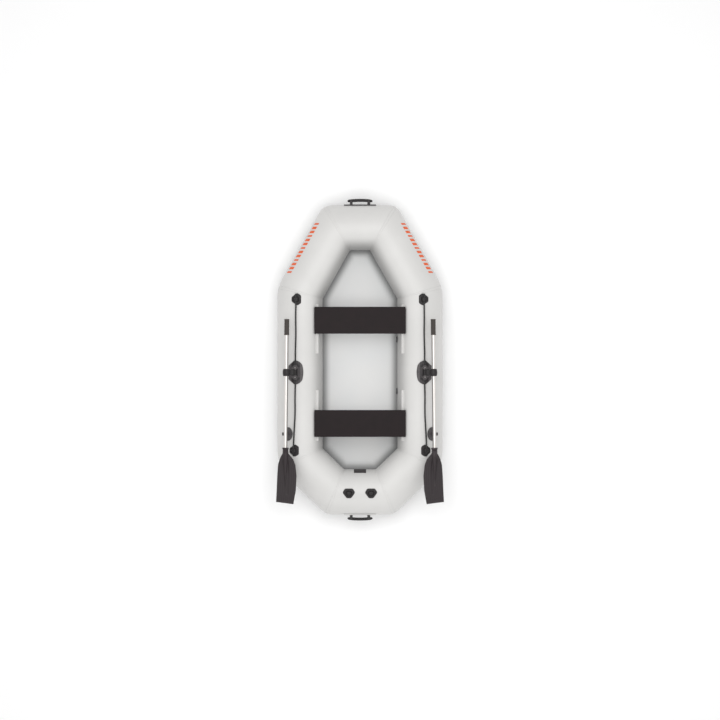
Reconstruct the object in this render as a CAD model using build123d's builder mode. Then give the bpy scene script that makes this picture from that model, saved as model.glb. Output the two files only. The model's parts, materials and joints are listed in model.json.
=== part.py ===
from build123d import *
import math
import os

# Inflatable rowing boat: a ring of air tubes round a sheet floor, two plywood
# thwarts that slide on rails, and a pair of oars stowed along the side tubes.
# Millimetres. +Z is up, +Y points to the bow, +X is the boat's right side.
# The origin is under the middle of the boat, on the ground.

# ---- hull ----
hull_length = 2400.0
beam = 1280.0
tube_radius = 175.0
skin = 1.0
bow_half_width = 282.0
bow_run = 635.0
stern_half_width = 264.0
stern_run = 363.0
bulkhead_y = -44.0
bulkhead_thickness = 1.2
lining_gap = 0.5
tape_gap = 0.25
tape_thickness = 0.6
tape_half_width = 14.0
tape_lowest = 50.0
floor_height = 30.0
floor_thickness = 1.2
floor_gap = 0.4
flange_drop = 1.55
flange_sweep = 10.5

# ---- fittings bonded to the tubes ----
glue_line = 1.0
plate_thickness = 4.0
rope_height = 15.0
rope_radius = 6.0
tunnel_radius = 6.5
eye_half_length = 50.5
eye_half_width = 38.5
eye_back_half_length = 30.5
eye_front_half_length = 13.0
eye_shoulder = 7.7
eye_boss_half_length = 26.0
eye_boss_front_half_length = 16.0
eye_boss_half_width = 22.0
eye_boss_height = 26.0
eye_boss_taper = 10.0
fore_eye_setback = 98.0
fore_eye_angle = 9.2
aft_eye_setback = 135.0
aft_eye_angle = 14.9
stern_eye_x = 86.0
stern_eye_angle = 2.9
knot_radius = 9.3
knot_length = 18.0

# ---- carrying handles ----
handle_reach = 48.0
grip_bar_radius = 12.5
grip_bar_length = 195.0
post_spacing = 136.0
post_width = 22.0
post_height = 26.0
handle_plate_length = 249.0
handle_plate_sweep = 34.0

# ---- seats ----
board_overhang = 20.0
board_width = 208.0
board_thickness = 12.0
board_rise = 23.19
front_seat_setback = 260.0
rear_seat_setback = 344.0
rail_angle = 49.0
rail_strip_width = 31.0
rail_strip_thickness = 2.0
rail_neck_width = 4.0
rail_bead_radius = 4.5
rail_bead_height = 9.5
slider_length = 186.0
slider_clearance = 0.5
slider_lift = 5.15
slider_low_reach = 11.5
slider_high_reach = 12.6
slider_inboard = 27.0
slider_outboard = 10.0
front_rail_setback = 137.0
front_rail_from_bulkhead = 92.0
rear_rail_setback = 210.0
rear_rail_from_bulkhead = 191.0

# ---- oarlocks ----
oarlock_y = -98.5
oarlock_angle = 10.3
base_half_length = 94.0
base_half_width = 58.0
base_side_half_length = 52.0
base_nose = -9.0
turret_half_length = 56.0
turret_half_width = 33.0
turret_side_half_length = 40.0
turret_end_half_width = 11.0
turret_height = 22.0
channel_half_length = 24.5
channel_floor = 7.0
ear_thickness = 12.0
ear_width = 30.0
ear_crown = 11.0
pin_height = 32.0
pin_radius = 5.5
pin_overhang = 3.0
knuckle_wall = 4.0
knuckle_clearance = 0.6
press_gap = 0.15
running_gap = 0.08
arm_thickness = 10.8
arm_half_width = 21.0

# ---- oars ----
oar_offset = 104.0
oar_yaw = 0.6
shaft_radius = 14.0
shaft_wall = 1.5
collar_length = 56.0
collar_wall = 14.0
collar_end_wall = 9.0
collar_seat_radius = 16.0
turning_gap = 0.6
bolt_radius = 6.0
bolt_cover = 1.6
nut_flats = 19.0
nut_height = 8.0
grip_start = -412.5
grip_length = 124.0
grip_wall = 6.0
grip_groove = 2.0
grip_end_wall = 4.0
blade_start = 580.5
blade_length = 436.0
blade_thickness = 5.0
neck_wall = 8.0
neck_flange_wall = 11.0
neck_flange_length = 12.0
socket_depth = 112.0
button_place = 73.0
button_radius = 5.0
button_proud = 2.5
button_root = 3.5
spine_wall = 3.0
spine_length = 300.0

# ---- oar holders ----
holder_setback = 263.0
holder_angle = 31.0
holder_half_length = 52.5
holder_half_width = 38.0
holder_width = 24.0
holder_wall = 6.0
cradle_offset = 6.0
cradle_drop = 29.0
cradle_clearance = 2.0
cradle_fence = 11.0

# ---- valves ----
valve_places = {"fore": 157.0, "aft": -244.0}
valve_flange_lip = 8.5
valve_flange_thickness = 3.6
valve_body_wall = 4.5
valve_throat_radius = 14.5
valve_depth = 34.0
valve_hole_gap = 0.6
valve_web = 3.0
valve_web_depth = 12.0
valve_cap_lip = 3.0
valve_cap_height = 5.6
valve_cap_gap = 0.35
valve_plug_length = 5.0
poppet_stem_radius = 3.0
poppet_disc_lap = 2.0
poppet_button_depth = 3.0
poppet_button_thickness = 1.5
poppet_disc_thickness = 2.5
spring_outer_radius = 6.0

# ---- data plate ----
plate_width = 94.0
plate_sweep = 32.0

os.makedirs("parts", exist_ok=True)
half_length = hull_length / 2
half_beam = beam / 2
side_x = half_beam - tube_radius
tube_z = tube_radius
end_y = half_length - tube_radius
fore_shoulder_y = half_length - bow_run
aft_shoulder_y = stern_run - half_length
seat_radius = tube_radius + glue_line
plate_top = seat_radius + plate_thickness
valve_body_radius = valve_throat_radius + valve_body_wall
blank_low = tube_radius - 20
blank_height = 50


def save(part, name):
    """Label one finished piece and write it."""
    part.label = name
    export_step(part, f"parts/{name}.step")


def save_pair(part, name):
    """Write the right-hand piece and its mirror image for the left side."""
    save(part, name + "_right")
    with BuildPart() as left:
        add(mirror(part, about=Plane.YZ, mode=Mode.PRIVATE))
    save(left.part, name + "_left")


def crossing(point_a, direction_a, point_b, direction_b):
    """Where two lines in the ground plane cross."""
    across = direction_a[0] * direction_b[1] - direction_a[1] * direction_b[0]
    gap_x = point_b[0] - point_a[0]
    gap_y = point_b[1] - point_a[1]
    reach = (gap_x * direction_b[1] - gap_y * direction_b[0]) / across
    return (point_a[0] + reach * direction_a[0], point_a[1] + reach * direction_a[1])


def inset_corners(depth):
    """The four right-hand corners of the hull outline, moved in by a depth."""
    outline = [
        (0, half_length),
        (bow_half_width, half_length),
        (half_beam, fore_shoulder_y),
        (half_beam, aft_shoulder_y),
        (stern_half_width, -half_length),
        (0, -half_length),
    ]
    lines = []
    for near, far in zip(outline, outline[1:]):
        length = math.dist(near, far)
        along = ((far[0] - near[0]) / length, (far[1] - near[1]) / length)
        lines.append(((near[0] + along[1] * depth, near[1] - along[0] * depth), along))
    return [crossing(*first, *second) for first, second in zip(lines, lines[1:])]


def closed_outline(corners):
    """A right-hand chain of corners and its mirror image, in order round the boat."""
    return corners + [(-x, y) for x, y in reversed(corners)]


ring = closed_outline(inset_corners(tube_radius))


def tube_run(index):
    """Start, end and the two mitre normals of one straight run of the tube ring."""
    before, start, end, after = [ring[(index + step) % 8] for step in (-1, 0, 1, 2)]
    headings = []
    for near, far in ((before, start), (start, end), (end, after)):
        headings.append((Vector(*far) - Vector(*near)).normalized())
    first = Vector(start[0], start[1], tube_z)
    last = Vector(end[0], end[1], tube_z)
    return first, last, headings[1], headings[0] + headings[1], headings[1] + headings[2]


def run_plane(origin, heading):
    """Cross-section plane of a tube: local x is up, local y is inboard."""
    return Plane(origin=origin, x_dir=(0, 0, 1), z_dir=heading)


def band(plane, inner, outer, start_angle=0, sweep=360):
    """Sketch part of a ring between two radii, angles turning from up to inboard."""
    with BuildSketch(plane) as face:
        if sweep == 360:
            Circle(outer)
            Circle(inner, mode=Mode.SUBTRACT)
            return face.sketch
        with BuildLine():
            outside = CenterArc((0, 0), outer, start_angle, sweep)
            inside = CenterArc((0, 0), inner, start_angle, sweep)
            Line(outside @ 0, inside @ 0)
            Line(outside @ 1, inside @ 1)
        make_face()
    return face.sketch


def mitred_shell(index, inner, outer, start_angle=0, sweep=360):
    """A shell along one run of the ring, cut at the mitre planes of its two ends."""
    first, last, heading, first_cut, last_cut = tube_run(index)
    spare = 2 * tube_radius
    plane = run_plane(first - heading * spare, heading)
    with BuildPart() as shell:
        profile = band(plane, inner, outer, start_angle, sweep)
        extrude(profile, amount=(last - first).length + 2 * spare)
        split(bisect_by=Plane(origin=first, z_dir=first_cut), keep=Keep.TOP)
        split(bisect_by=Plane(origin=last, z_dir=last_cut), keep=Keep.BOTTOM)
    return shell.part


# ---- air tubes: the ring runs clockwise from the left bow corner ----
tube_names = {
    7: "bow_tube",
    0: "bow_quarter_tube_right",
    2: "stern_quarter_tube_right",
    3: "stern_tube",
    4: "stern_quarter_tube_left",
    6: "bow_quarter_tube_left",
}
for index, name in tube_names.items():
    save(mitred_shell(index, tube_radius - skin, tube_radius), name)

bulkhead_plane = Plane(origin=(0, bulkhead_y, 0), z_dir=(0, 1, 0))
for index, side in ((1, "right"), (5, "left")):
    for end, keep in (("fore", Keep.TOP), ("aft", Keep.BOTTOM)):
        with BuildPart() as side_tube:
            add(mitred_shell(index, tube_radius - skin, tube_radius))
            split(bisect_by=bulkhead_plane, keep=keep)
            if side == "right":
                valve_plane = Plane(
                    origin=(side_x - tube_radius, valve_places[end], tube_z), z_dir=(-1, 0, 0)
                )
                with BuildSketch(valve_plane):
                    Circle(valve_body_radius + valve_hole_gap)
                extrude(amount=tube_radius / 2, both=True, mode=Mode.SUBTRACT)
        save(side_tube.part, f"{end}_side_tube_{side}")

with BuildPart() as bulkheads:
    for x in (-side_x, side_x):
        with BuildSketch(Plane(origin=(x, bulkhead_y, tube_z), z_dir=(0, 1, 0))):
            Circle(tube_radius - skin - lining_gap)
    extrude(amount=bulkhead_thickness / 2, both=True)
save(bulkheads.part, "chamber_bulkheads")

# ---- seam tapes over the eight mitred corners ----
def half_tape(corner, heading, cut, side):
    """One half of a corner's tape; side is +1 past the mitre plane and -1 before it."""
    inner = tube_radius + tape_gap
    with BuildPart() as half:
        with BuildSketch(run_plane(corner, heading)):
            Circle(inner + tape_thickness)
            Circle(inner, mode=Mode.SUBTRACT)
        extrude(amount=3 * tube_radius, both=True)
        split(bisect_by=Plane(origin=corner, z_dir=cut * side), keep=Keep.TOP)
        edge = corner + cut.normalized() * (side * tape_half_width)
        split(bisect_by=Plane(origin=edge, z_dir=cut * side), keep=Keep.BOTTOM)
        split(bisect_by=Plane.XY.offset(tape_lowest), keep=Keep.TOP)
    return half.part


with BuildPart() as tapes:
    for index in range(8):
        corner, _, heading, cut, _ = tube_run(index)
        heading_before = tube_run((index - 1) % 8)[2]
        add(half_tape(corner, heading, cut, 1))
        add(half_tape(corner, heading_before, cut, -1))
save(tapes.part, "seam_tapes")

# ---- floor ----
floor_top = floor_height + floor_thickness
floor_reach = math.sqrt(tube_radius**2 - (tube_radius - floor_top) ** 2) + floor_gap
flange_start = math.degrees(math.acos((floor_height - tube_radius) / tube_radius)) + flange_drop
with BuildPart() as floor_sheet:
    with BuildSketch(Plane.XY.offset(floor_height)):
        with BuildLine():
            Polyline(closed_outline(inset_corners(tube_radius + floor_reach)), close=True)
        make_face()
    extrude(amount=floor_thickness)
save(floor_sheet.part, "floor_sheet")

with BuildPart() as floor_flange:
    for index in range(8):
        flange_inner = tube_radius + tape_gap
        flange_outer = flange_inner + floor_thickness
        add(mitred_shell(index, flange_inner, flange_outer, flange_start, flange_sweep))
save(floor_flange.part, "floor_flange")


def fitting_plane(centre, along, angle):
    """Plane on a tube's axis: x along the tube, z out at an angle outboard of the top."""
    axis = Vector(*centre, tube_z)
    up = Vector(0, 0, 1)
    outboard = Vector(*along, 0).cross(up)
    lean = math.radians(angle)
    return Plane(origin=axis, x_dir=(*along, 0), z_dir=up * math.cos(lean) + outboard * math.sin(lean))


def across_tube(plane):
    """The tube's cross-section plane at a fitting: x is inboard, y is up from the tube."""
    return Plane(origin=plane.origin, x_dir=plane.y_dir, z_dir=plane.x_dir)


def disc(plane, radius, middle=(0, 0)):
    """A round profile on a plane."""
    with BuildSketch(plane) as face:
        with Locations(middle):
            Circle(radius)
    return face.sketch


def bend_to_tube(plane, reach):
    """Trim a plate blank to the shell that lies on the tube."""
    extrude(disc(across_tube(plane), plate_top), amount=reach, both=True, mode=Mode.INTERSECT)
    extrude(disc(across_tube(plane), seat_radius), amount=reach, both=True, mode=Mode.SUBTRACT)


def tunnel(plane, reach):
    """Rope hole along the tube."""
    hole = disc(across_tube(plane), tunnel_radius, (0, tube_radius + rope_height))
    extrude(hole, amount=reach, both=True, mode=Mode.SUBTRACT)


def rope_eye(plane):
    """Shield-shaped moulding with a raised boss and a rope hole through it."""
    with BuildPart() as eye:
        with BuildSketch(plane.offset(blank_low)):
            with BuildLine():
                FilletPolyline(
                    (eye_back_half_length, eye_half_width),
                    (-eye_back_half_length, eye_half_width),
                    (-eye_half_length, eye_shoulder),
                    (-eye_front_half_length, -eye_half_width),
                    (eye_front_half_length, -eye_half_width),
                    (eye_half_length, eye_shoulder),
                    radius=7,
                    close=True,
                )
            make_face()
        extrude(amount=blank_height)
        bend_to_tube(plane, 2 * eye_half_length)
        with BuildSketch(plane.offset(seat_radius + 1)):
            with BuildLine():
                FilletPolyline(
                    (eye_boss_half_length, eye_boss_half_width),
                    (-eye_boss_half_length, eye_boss_half_width),
                    (-eye_boss_front_half_length, -eye_boss_half_width),
                    (eye_boss_front_half_length, -eye_boss_half_width),
                    radius=8,
                    close=True,
                )
            make_face()
        extrude(amount=eye_boss_height - glue_line - 1, taper=eye_boss_taper)
        out = Axis(plane.origin, plane.z_dir)
        fillet(eye.faces().filter_by(out).sort_by(out)[-1].edges(), radius=3)
        tunnel(plane, 2 * eye_half_length)
    return eye.part


fore_eye_place = (side_x, fore_shoulder_y - fore_eye_setback)
aft_eye_place = (side_x, aft_shoulder_y + aft_eye_setback)
stern_eye_place = (stern_eye_x, -end_y)
save_pair(rope_eye(fitting_plane(fore_eye_place, (0, 1), fore_eye_angle)), "fore_rope_eye")
save_pair(rope_eye(fitting_plane(aft_eye_place, (0, 1), aft_eye_angle)), "aft_rope_eye")
save_pair(rope_eye(fitting_plane(stern_eye_place, (1, 0), stern_eye_angle)), "stern_rope_eye")


def plate_and_grip(side):
    """Carrying handle on an end tube; side is +1 at the bow and -1 at the stern."""
    centre = Vector(0, side * end_y, tube_z)
    bar_y = side * (half_length + handle_reach - grip_bar_radius)
    plate_plane = Plane(origin=centre, x_dir=(0, side, 0), z_dir=(1, 0, 0))
    with BuildPart() as patch:
        outline = band(plate_plane, seat_radius, plate_top, -handle_plate_sweep / 2, handle_plate_sweep)
        extrude(outline, amount=handle_plate_length / 2, both=True)
        post_foot = (0, side * (half_length + glue_line + 1), tube_z)
        with BuildSketch(Plane(origin=post_foot, x_dir=(1, 0, 0), z_dir=(0, side, 0))):
            with GridLocations(post_spacing, 0, 2, 1):
                RectangleRounded(post_width, post_height, 5)
        extrude(amount=handle_reach - glue_line - 1 - grip_bar_radius)
        with BuildSketch(Plane(origin=(0, bar_y, tube_z), z_dir=(1, 0, 0))):
            Circle(grip_bar_radius + press_gap)
        extrude(amount=grip_bar_length, both=True, mode=Mode.SUBTRACT)
    with BuildPart() as grip:
        with BuildSketch(Plane(origin=(0, bar_y, tube_z), z_dir=(1, 0, 0))):
            Circle(grip_bar_radius)
        extrude(amount=grip_bar_length / 2, both=True)
        fillet(grip.edges().filter_by(GeomType.CIRCLE), radius=4)
    return patch.part, grip.part


for side, name in ((1, "bow"), (-1, "stern")):
    patch_part, grip_part = plate_and_grip(side)
    save(patch_part, f"{name}_handle_patch")
    save(grip_part, f"{name}_handle_grip")

# ---- data plate on the inboard side of the stern tube ----
stern_section = Plane(origin=(0, -end_y, tube_z), x_dir=(0, 0, 1), z_dir=(-1, 0, 0))
with BuildPart() as data_plate:
    outline = band(stern_section, tube_radius + tape_gap, seat_radius + 1, 90 - plate_sweep, plate_sweep)
    extrude(outline, amount=plate_width / 2, both=True)
save(data_plate.part, "data_plate")

# ---- oarlocks ----
lock_plane = fitting_plane((side_x, oarlock_y), (0, 1), oarlock_angle)
pin_centre = lock_plane.origin + lock_plane.z_dir * (tube_radius + pin_height)
ear_inner = channel_half_length
ear_outer = ear_inner + ear_thickness
knuckle_radius = pin_radius + knuckle_wall
oar_x = side_x + oar_offset
with BuildPart() as base:
    with BuildSketch(lock_plane.offset(blank_low)):
        with BuildLine():
            nose_aft = (-base_half_length, base_nose)
            nose_fore = (base_half_length, base_nose)
            haunch_aft = (-base_side_half_length - 6, base_half_width - 8)
            haunch_fore = (base_side_half_length + 6, base_half_width - 8)
            Polyline(
                nose_fore,
                (base_side_half_length, -base_half_width),
                (-base_side_half_length, -base_half_width),
                nose_aft,
            )
            ThreePointArc(nose_aft, (12 - base_half_length, base_half_width - 30), haunch_aft)
            ThreePointArc(haunch_aft, (0, base_half_width), haunch_fore)
            ThreePointArc(haunch_fore, (base_half_length - 12, base_half_width - 30), nose_fore)
        make_face()
    extrude(amount=blank_height)
    bend_to_tube(lock_plane, 2 * base_half_length)
    with BuildSketch(lock_plane.offset(seat_radius + 1)):
        with BuildLine():
            FilletPolyline(
                (turret_half_length, turret_end_half_width),
                (turret_side_half_length, turret_half_width),
                (-turret_side_half_length, turret_half_width),
                (-turret_half_length, turret_end_half_width),
                (-turret_half_length, -turret_end_half_width),
                (-turret_side_half_length, -turret_half_width),
                (turret_side_half_length, -turret_half_width),
                (turret_half_length, -turret_end_half_width),
                radius=9,
                close=True,
            )
        make_face()
    extrude(amount=turret_height - glue_line - 1)
    with BuildSketch(lock_plane.offset(tube_radius + channel_floor)):
        with Locations((0, -base_half_width + 14)):
            Rectangle(2 * channel_half_length, 2 * base_half_width)
    extrude(amount=turret_height, mode=Mode.SUBTRACT)
    for a in (-1, 1):
        ear_middle = lock_plane.x_dir * (a * (ear_inner + ear_outer) / 2)
        ear_plane = Plane(
            origin=pin_centre + ear_middle, x_dir=lock_plane.y_dir, z_dir=lock_plane.x_dir
        )
        with BuildSketch(ear_plane):
            with BuildLine():
                ear_low = turret_height - pin_height - 3
                half_ear = ear_width / 2
                Polyline((-half_ear, 0), (-half_ear, ear_low), (half_ear, ear_low), (half_ear, 0))
                ThreePointArc((half_ear, 0), (0, ear_crown), (-half_ear, 0))
            make_face()
        extrude(amount=ear_thickness / 2, both=True)
    with BuildSketch(Plane(origin=pin_centre, z_dir=(0, 1, 0))):
        Circle(pin_radius + press_gap)
    extrude(amount=base_half_length, both=True, mode=Mode.SUBTRACT)
    tunnel(lock_plane, 2 * base_half_length)
save_pair(base.part, "oarlock_base")

with BuildPart() as pin:
    with BuildSketch(Plane(origin=pin_centre, z_dir=(0, 1, 0))):
        Circle(pin_radius)
    extrude(amount=ear_outer + pin_overhang, both=True)
    chamfer(pin.edges().filter_by(GeomType.CIRCLE), length=0.8)
save_pair(pin.part, "oarlock_pin")

arm_bottom = pin_centre.Z - knuckle_radius
arm_top = arm_bottom + arm_thickness
with BuildPart() as arm:
    with BuildSketch(Plane(origin=pin_centre, z_dir=(0, 1, 0))):
        Circle(knuckle_radius)
    extrude(amount=channel_half_length - knuckle_clearance, both=True)
    with BuildSketch(Plane(origin=(0, 0, arm_bottom))):
        with Locations(((pin_centre.X + oar_x) / 2, oarlock_y)):
            Rectangle(oar_x - pin_centre.X, 2 * arm_half_width)
        with Locations((oar_x, oarlock_y)):
            Circle(arm_half_width)
    extrude(amount=arm_thickness)
    with BuildSketch(Plane(origin=pin_centre, z_dir=(0, 1, 0))):
        Circle(pin_radius + running_gap)
    extrude(amount=arm_half_width * 2, both=True, mode=Mode.SUBTRACT)
    with BuildSketch(Plane(origin=(oar_x, oarlock_y, arm_bottom))):
        Circle(bolt_radius + running_gap)
    extrude(amount=arm_thickness, mode=Mode.SUBTRACT)
save_pair(arm.part, "oarlock_arm")

# ---- oars: local z runs aft along the shaft, local x is outboard, local y is up ----
collar_radius = shaft_radius + collar_wall
collar_end_radius = shaft_radius + collar_end_wall
grip_radius = shaft_radius + grip_wall
neck_radius = shaft_radius + neck_wall
neck_flange_radius = shaft_radius + neck_flange_wall
oar_z = arm_top + turning_gap + collar_radius
yaw = math.radians(oar_yaw)
oar_aft = Vector(math.sin(yaw), -math.cos(yaw), 0)
oar_out = Vector(math.cos(yaw), math.sin(yaw), 0)
oar_plane = Plane(origin=(oar_x, oarlock_y, oar_z), x_dir=oar_out, z_dir=oar_aft)
oar_side = Plane(origin=(oar_x, oarlock_y, oar_z), x_dir=oar_aft, z_dir=-oar_out)
oar_top = Plane(origin=(oar_x, oarlock_y, oar_z), x_dir=oar_aft, z_dir=(0, 0, 1))
oar_axis = Axis((oar_x, oarlock_y, oar_z), oar_aft)

with BuildPart() as collar:
    with BuildSketch(oar_side):
        with BuildLine():
            half = collar_length / 2
            Polyline((-half, collar_end_radius), (-half, 0), (half, 0), (half, collar_end_radius))
            ThreePointArc((half, collar_end_radius), (0, collar_radius), (-half, collar_end_radius))
        make_face()
    revolve(axis=oar_axis)
    with BuildSketch(Plane(origin=(oar_x, oarlock_y, arm_top + turning_gap))):
        Circle(collar_seat_radius)
    extrude(amount=collar_radius)
    with BuildSketch(oar_plane):
        Circle(shaft_radius + press_gap)
    extrude(amount=collar_length, both=True, mode=Mode.SUBTRACT)
    with BuildSketch(Plane(origin=(oar_x, oarlock_y, arm_top))):
        Circle(bolt_radius + press_gap)
    extrude(amount=collar_radius - shaft_radius - 0.5, mode=Mode.SUBTRACT)
save_pair(collar.part, "oar_collar")

nut_top = arm_bottom - turning_gap / 2
bolt_top = oar_z - shaft_radius - bolt_cover
with BuildPart() as bolt:
    with BuildSketch(Plane(origin=(oar_x, oarlock_y, nut_top - nut_height - 2))):
        Circle(bolt_radius)
    extrude(amount=bolt_top - nut_top + nut_height + 2)
    with BuildSketch(Plane(origin=(oar_x, oarlock_y, nut_top - nut_height))):
        RegularPolygon(nut_flats / 2, 6, major_radius=False)
        Circle(bolt_radius + press_gap, mode=Mode.SUBTRACT)
    extrude(amount=nut_height)
save_pair(bolt.part, "swivel_bolt")

shaft_start = grip_start + grip_end_wall + press_gap
shaft_end = blade_start + socket_depth - press_gap
button_s = blade_start + button_place
button_centre = Vector(oar_x, oarlock_y, oar_z) + oar_aft * button_s
with BuildPart() as shaft:
    with BuildSketch(oar_plane.offset(shaft_start)):
        Circle(shaft_radius)
        Circle(shaft_radius - shaft_wall, mode=Mode.SUBTRACT)
    extrude(amount=shaft_end - shaft_start)
    with BuildSketch(Plane(origin=button_centre, z_dir=(0, 0, 1))):
        Circle(button_radius + running_gap)
    extrude(amount=shaft_radius * 2, mode=Mode.SUBTRACT)
save_pair(shaft.part, "oar_shaft")

with BuildPart() as grip:
    with BuildSketch(oar_side):
        with BuildLine():
            Polyline(
                (grip_start, 0),
                (grip_start, grip_radius - 3),
                (grip_start + 3, grip_radius),
                (grip_start + 8, grip_radius),
                (grip_start + 10, grip_radius - grip_groove),
                (grip_start + grip_length - 10, grip_radius - grip_groove),
                (grip_start + grip_length - 8, grip_radius),
                (grip_start + grip_length, grip_radius),
                (grip_start + grip_length, 0),
                close=True,
            )
        make_face()
    revolve(axis=oar_axis)
    with BuildSketch(oar_plane.offset(grip_start + grip_end_wall)):
        Circle(shaft_radius + press_gap)
    extrude(amount=grip_length, mode=Mode.SUBTRACT)
save_pair(grip.part, "oar_grip")

socket_end = blade_start + socket_depth
spine_end = blade_start + spine_length
socket_lip = socket_end + 8
neck_back = blade_start + 60
with BuildPart() as blade:
    with BuildSketch(oar_top.offset(-blade_thickness / 2)):
        with BuildLine():
            root_in = (blade_start + 41, 2 - neck_radius)
            root_out = (blade_start + 41, neck_radius - 2)
            tip_in = (blade_start + blade_length, -66)
            tip_out = (blade_start + blade_length - 16, 69)
            Line(root_in, root_out)
            Spline(
                root_in,
                (blade_start + 91, -63),
                (blade_start + 216, -89),
                (blade_start + 330, -83),
                tip_in,
            )
            Line(tip_in, tip_out)
            Spline(tip_out, (blade_start + 250, 62.5), (blade_start + 134, 56), root_out)
        make_face()
    extrude(amount=blade_thickness)
    with BuildSketch(oar_side):
        with BuildLine():
            Polyline(
                (blade_start, 0),
                (blade_start, neck_flange_radius),
                (blade_start + neck_flange_length, neck_flange_radius),
                (blade_start + neck_flange_length, neck_radius),
                (neck_back, neck_radius),
                (socket_lip, shaft_radius + spine_wall),
                (spine_end, blade_thickness / 2),
                (spine_end, 0),
                close=True,
            )
        make_face()
    revolve(axis=oar_axis)
    with BuildSketch(oar_plane.offset(blade_start)):
        Circle(shaft_radius + press_gap)
    extrude(amount=socket_depth, mode=Mode.SUBTRACT)
    with BuildSketch(Plane(origin=button_centre, z_dir=(0, 0, 1))):
        Circle(button_radius + running_gap)
    extrude(amount=neck_radius * 2, mode=Mode.SUBTRACT)
save_pair(blade.part, "oar_blade")

neck_slope = (neck_wall - spine_wall) / (socket_lip - neck_back)
spine_radius = neck_radius - neck_slope * (button_s - neck_back)
button_base = shaft_radius - shaft_wall - button_root
with BuildPart() as button:
    with BuildSketch(Plane(origin=button_centre + Vector(0, 0, button_base), z_dir=(0, 0, 1))):
        Circle(button_radius)
    extrude(amount=spine_radius + button_proud - button_base)
    fillet(button.edges().sort_by(Axis.Z)[-1], radius=1.5)
save_pair(button.part, "blade_button")

# ---- oar holders: a bonded plate with a hooked cradle under the stowed shaft ----
holder_y = aft_shoulder_y + holder_setback
holder_plane = fitting_plane((side_x, holder_y), (0, 1), holder_angle)
shaft_here = oar_x + (oarlock_y - holder_y) * math.tan(yaw)
cradle_x = shaft_here + cradle_offset
cradle_z = oar_z - cradle_drop
cradle_radius = shaft_radius + cradle_clearance
cradle_back = cradle_x - cradle_radius - holder_wall
cradle_front = cradle_x + cradle_radius + holder_wall
with BuildPart() as holder:
    with BuildSketch(holder_plane.offset(blank_low)):
        Ellipse(holder_half_length, holder_half_width)
    extrude(amount=blank_height)
    bend_to_tube(holder_plane, 2 * holder_half_length)
    with BuildSketch(Plane(origin=(0, holder_y, 0), x_dir=(1, 0, 0), z_dir=(0, -1, 0))):
        with BuildLine():
            Polyline(
                (cradle_back, tube_z + tube_radius * 0.75),
                (cradle_back, cradle_z + cradle_fence),
                (cradle_x - cradle_radius, cradle_z + cradle_fence),
                (cradle_x - cradle_radius, cradle_z),
            )
            ThreePointArc(
                (cradle_x - cradle_radius, cradle_z),
                (cradle_x, cradle_z - cradle_radius),
                (cradle_x + cradle_radius, cradle_z),
            )
            Polyline(
                (cradle_x + cradle_radius, cradle_z),
                (cradle_front, cradle_z),
                (cradle_front - 10, cradle_z - cradle_radius - 8),
                (cradle_x - 2, tube_z + tube_radius * 0.70),
                (cradle_back, tube_z + tube_radius * 0.75),
            )
        make_face()
    extrude(amount=holder_width / 2, both=True)
    with BuildSketch(across_tube(holder_plane)):
        Circle(seat_radius)
    extrude(amount=2 * holder_half_length, both=True, mode=Mode.SUBTRACT)
save_pair(holder.part, "oar_holder")

# ---- lifelines: from the fore eye, through the oarlock base, to the aft eye ----
rope_route = [
    (495.2, 495, 362.6),
    (495.2, 430, 362.6),
    (497.6, 330, 360.6),
    (494.8, 200, 359.8),
    (499.6, 70, 361.0),
    (499.0, -15, 361.9),
    (499.0, -180, 361.9),
    (502.4, -285, 360.4),
    (500.8, -415, 359.4),
    (508.6, -550, 358.9),
    (513.9, -650, 358.6),
    (513.9, -730, 358.6),
]


def arc_radii(route):
    """The radius at each inner point: 0.45 of the shorter run over tan of half the turn."""
    points = [Vector(*point) for point in route]
    radii = []
    for before, here, after in zip(points, points[1:], points[2:]):
        turn = (here - before).get_angle(after - here)
        shorter = min((here - before).length, (after - here).length)
        radii.append(0.45 * shorter / math.tan(math.radians(turn) / 2))
    return radii


rope_radii = arc_radii(rope_route)
print("lifeline radii", [round(radius) for radius in rope_radii])
with BuildPart() as lifeline:
    with BuildLine() as rope_line:
        FilletPolyline(*rope_route, radius=rope_radii)
    with BuildSketch(Plane(origin=rope_route[0], z_dir=rope_line.line % 0)):
        Circle(rope_radius)
    sweep()
rope_length = sum(edge.length for edge in rope_line.edges())
rope_volume = math.pi * rope_radius**2 * rope_length
print("lifeline length", rope_length, "volume", lifeline.part.volume, "wanted", rope_volume)
save_pair(lifeline.part, "lifeline")

with BuildPart() as knots:
    for (x, y, z), way in ((rope_route[0], 1), (rope_route[-1], -1)):
        with BuildSketch(Plane(origin=(x, y, z), z_dir=(0, way, 0))):
            Circle(knot_radius)
        extrude(amount=knot_length)
    fillet(knots.edges().filter_by(GeomType.CIRCLE), radius=4)
    mirror(about=Plane.YZ)
save(knots.part, "lifeline_knots")

# ---- seats ----
rail_lean = math.radians(rail_angle)
rail_foot = Vector(
    side_x - tube_radius * math.sin(rail_lean), 0, tube_z + tube_radius * math.cos(rail_lean)
)
rail_sweep = math.degrees(rail_strip_width / tube_radius)
front_rail_ends = (bulkhead_y + front_rail_from_bulkhead, fore_shoulder_y - front_rail_setback)
rear_rail_ends = (aft_shoulder_y + rear_rail_setback, bulkhead_y - rear_rail_from_bulkhead)
front_seat_y = fore_shoulder_y - front_seat_setback
rear_seat_y = aft_shoulder_y + rear_seat_setback
board_underside = rail_foot.Z + board_rise
board_length = 2 * (rail_foot.X + board_overhang)


def rail_section(y):
    """Plane across a right-hand rail: x up along the tube's skin, y out of the tube."""
    return Plane(
        origin=rail_foot + Vector(0, y, 0),
        x_dir=(math.cos(rail_lean), 0, math.sin(rail_lean)),
        z_dir=(0, -1, 0),
    )


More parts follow.
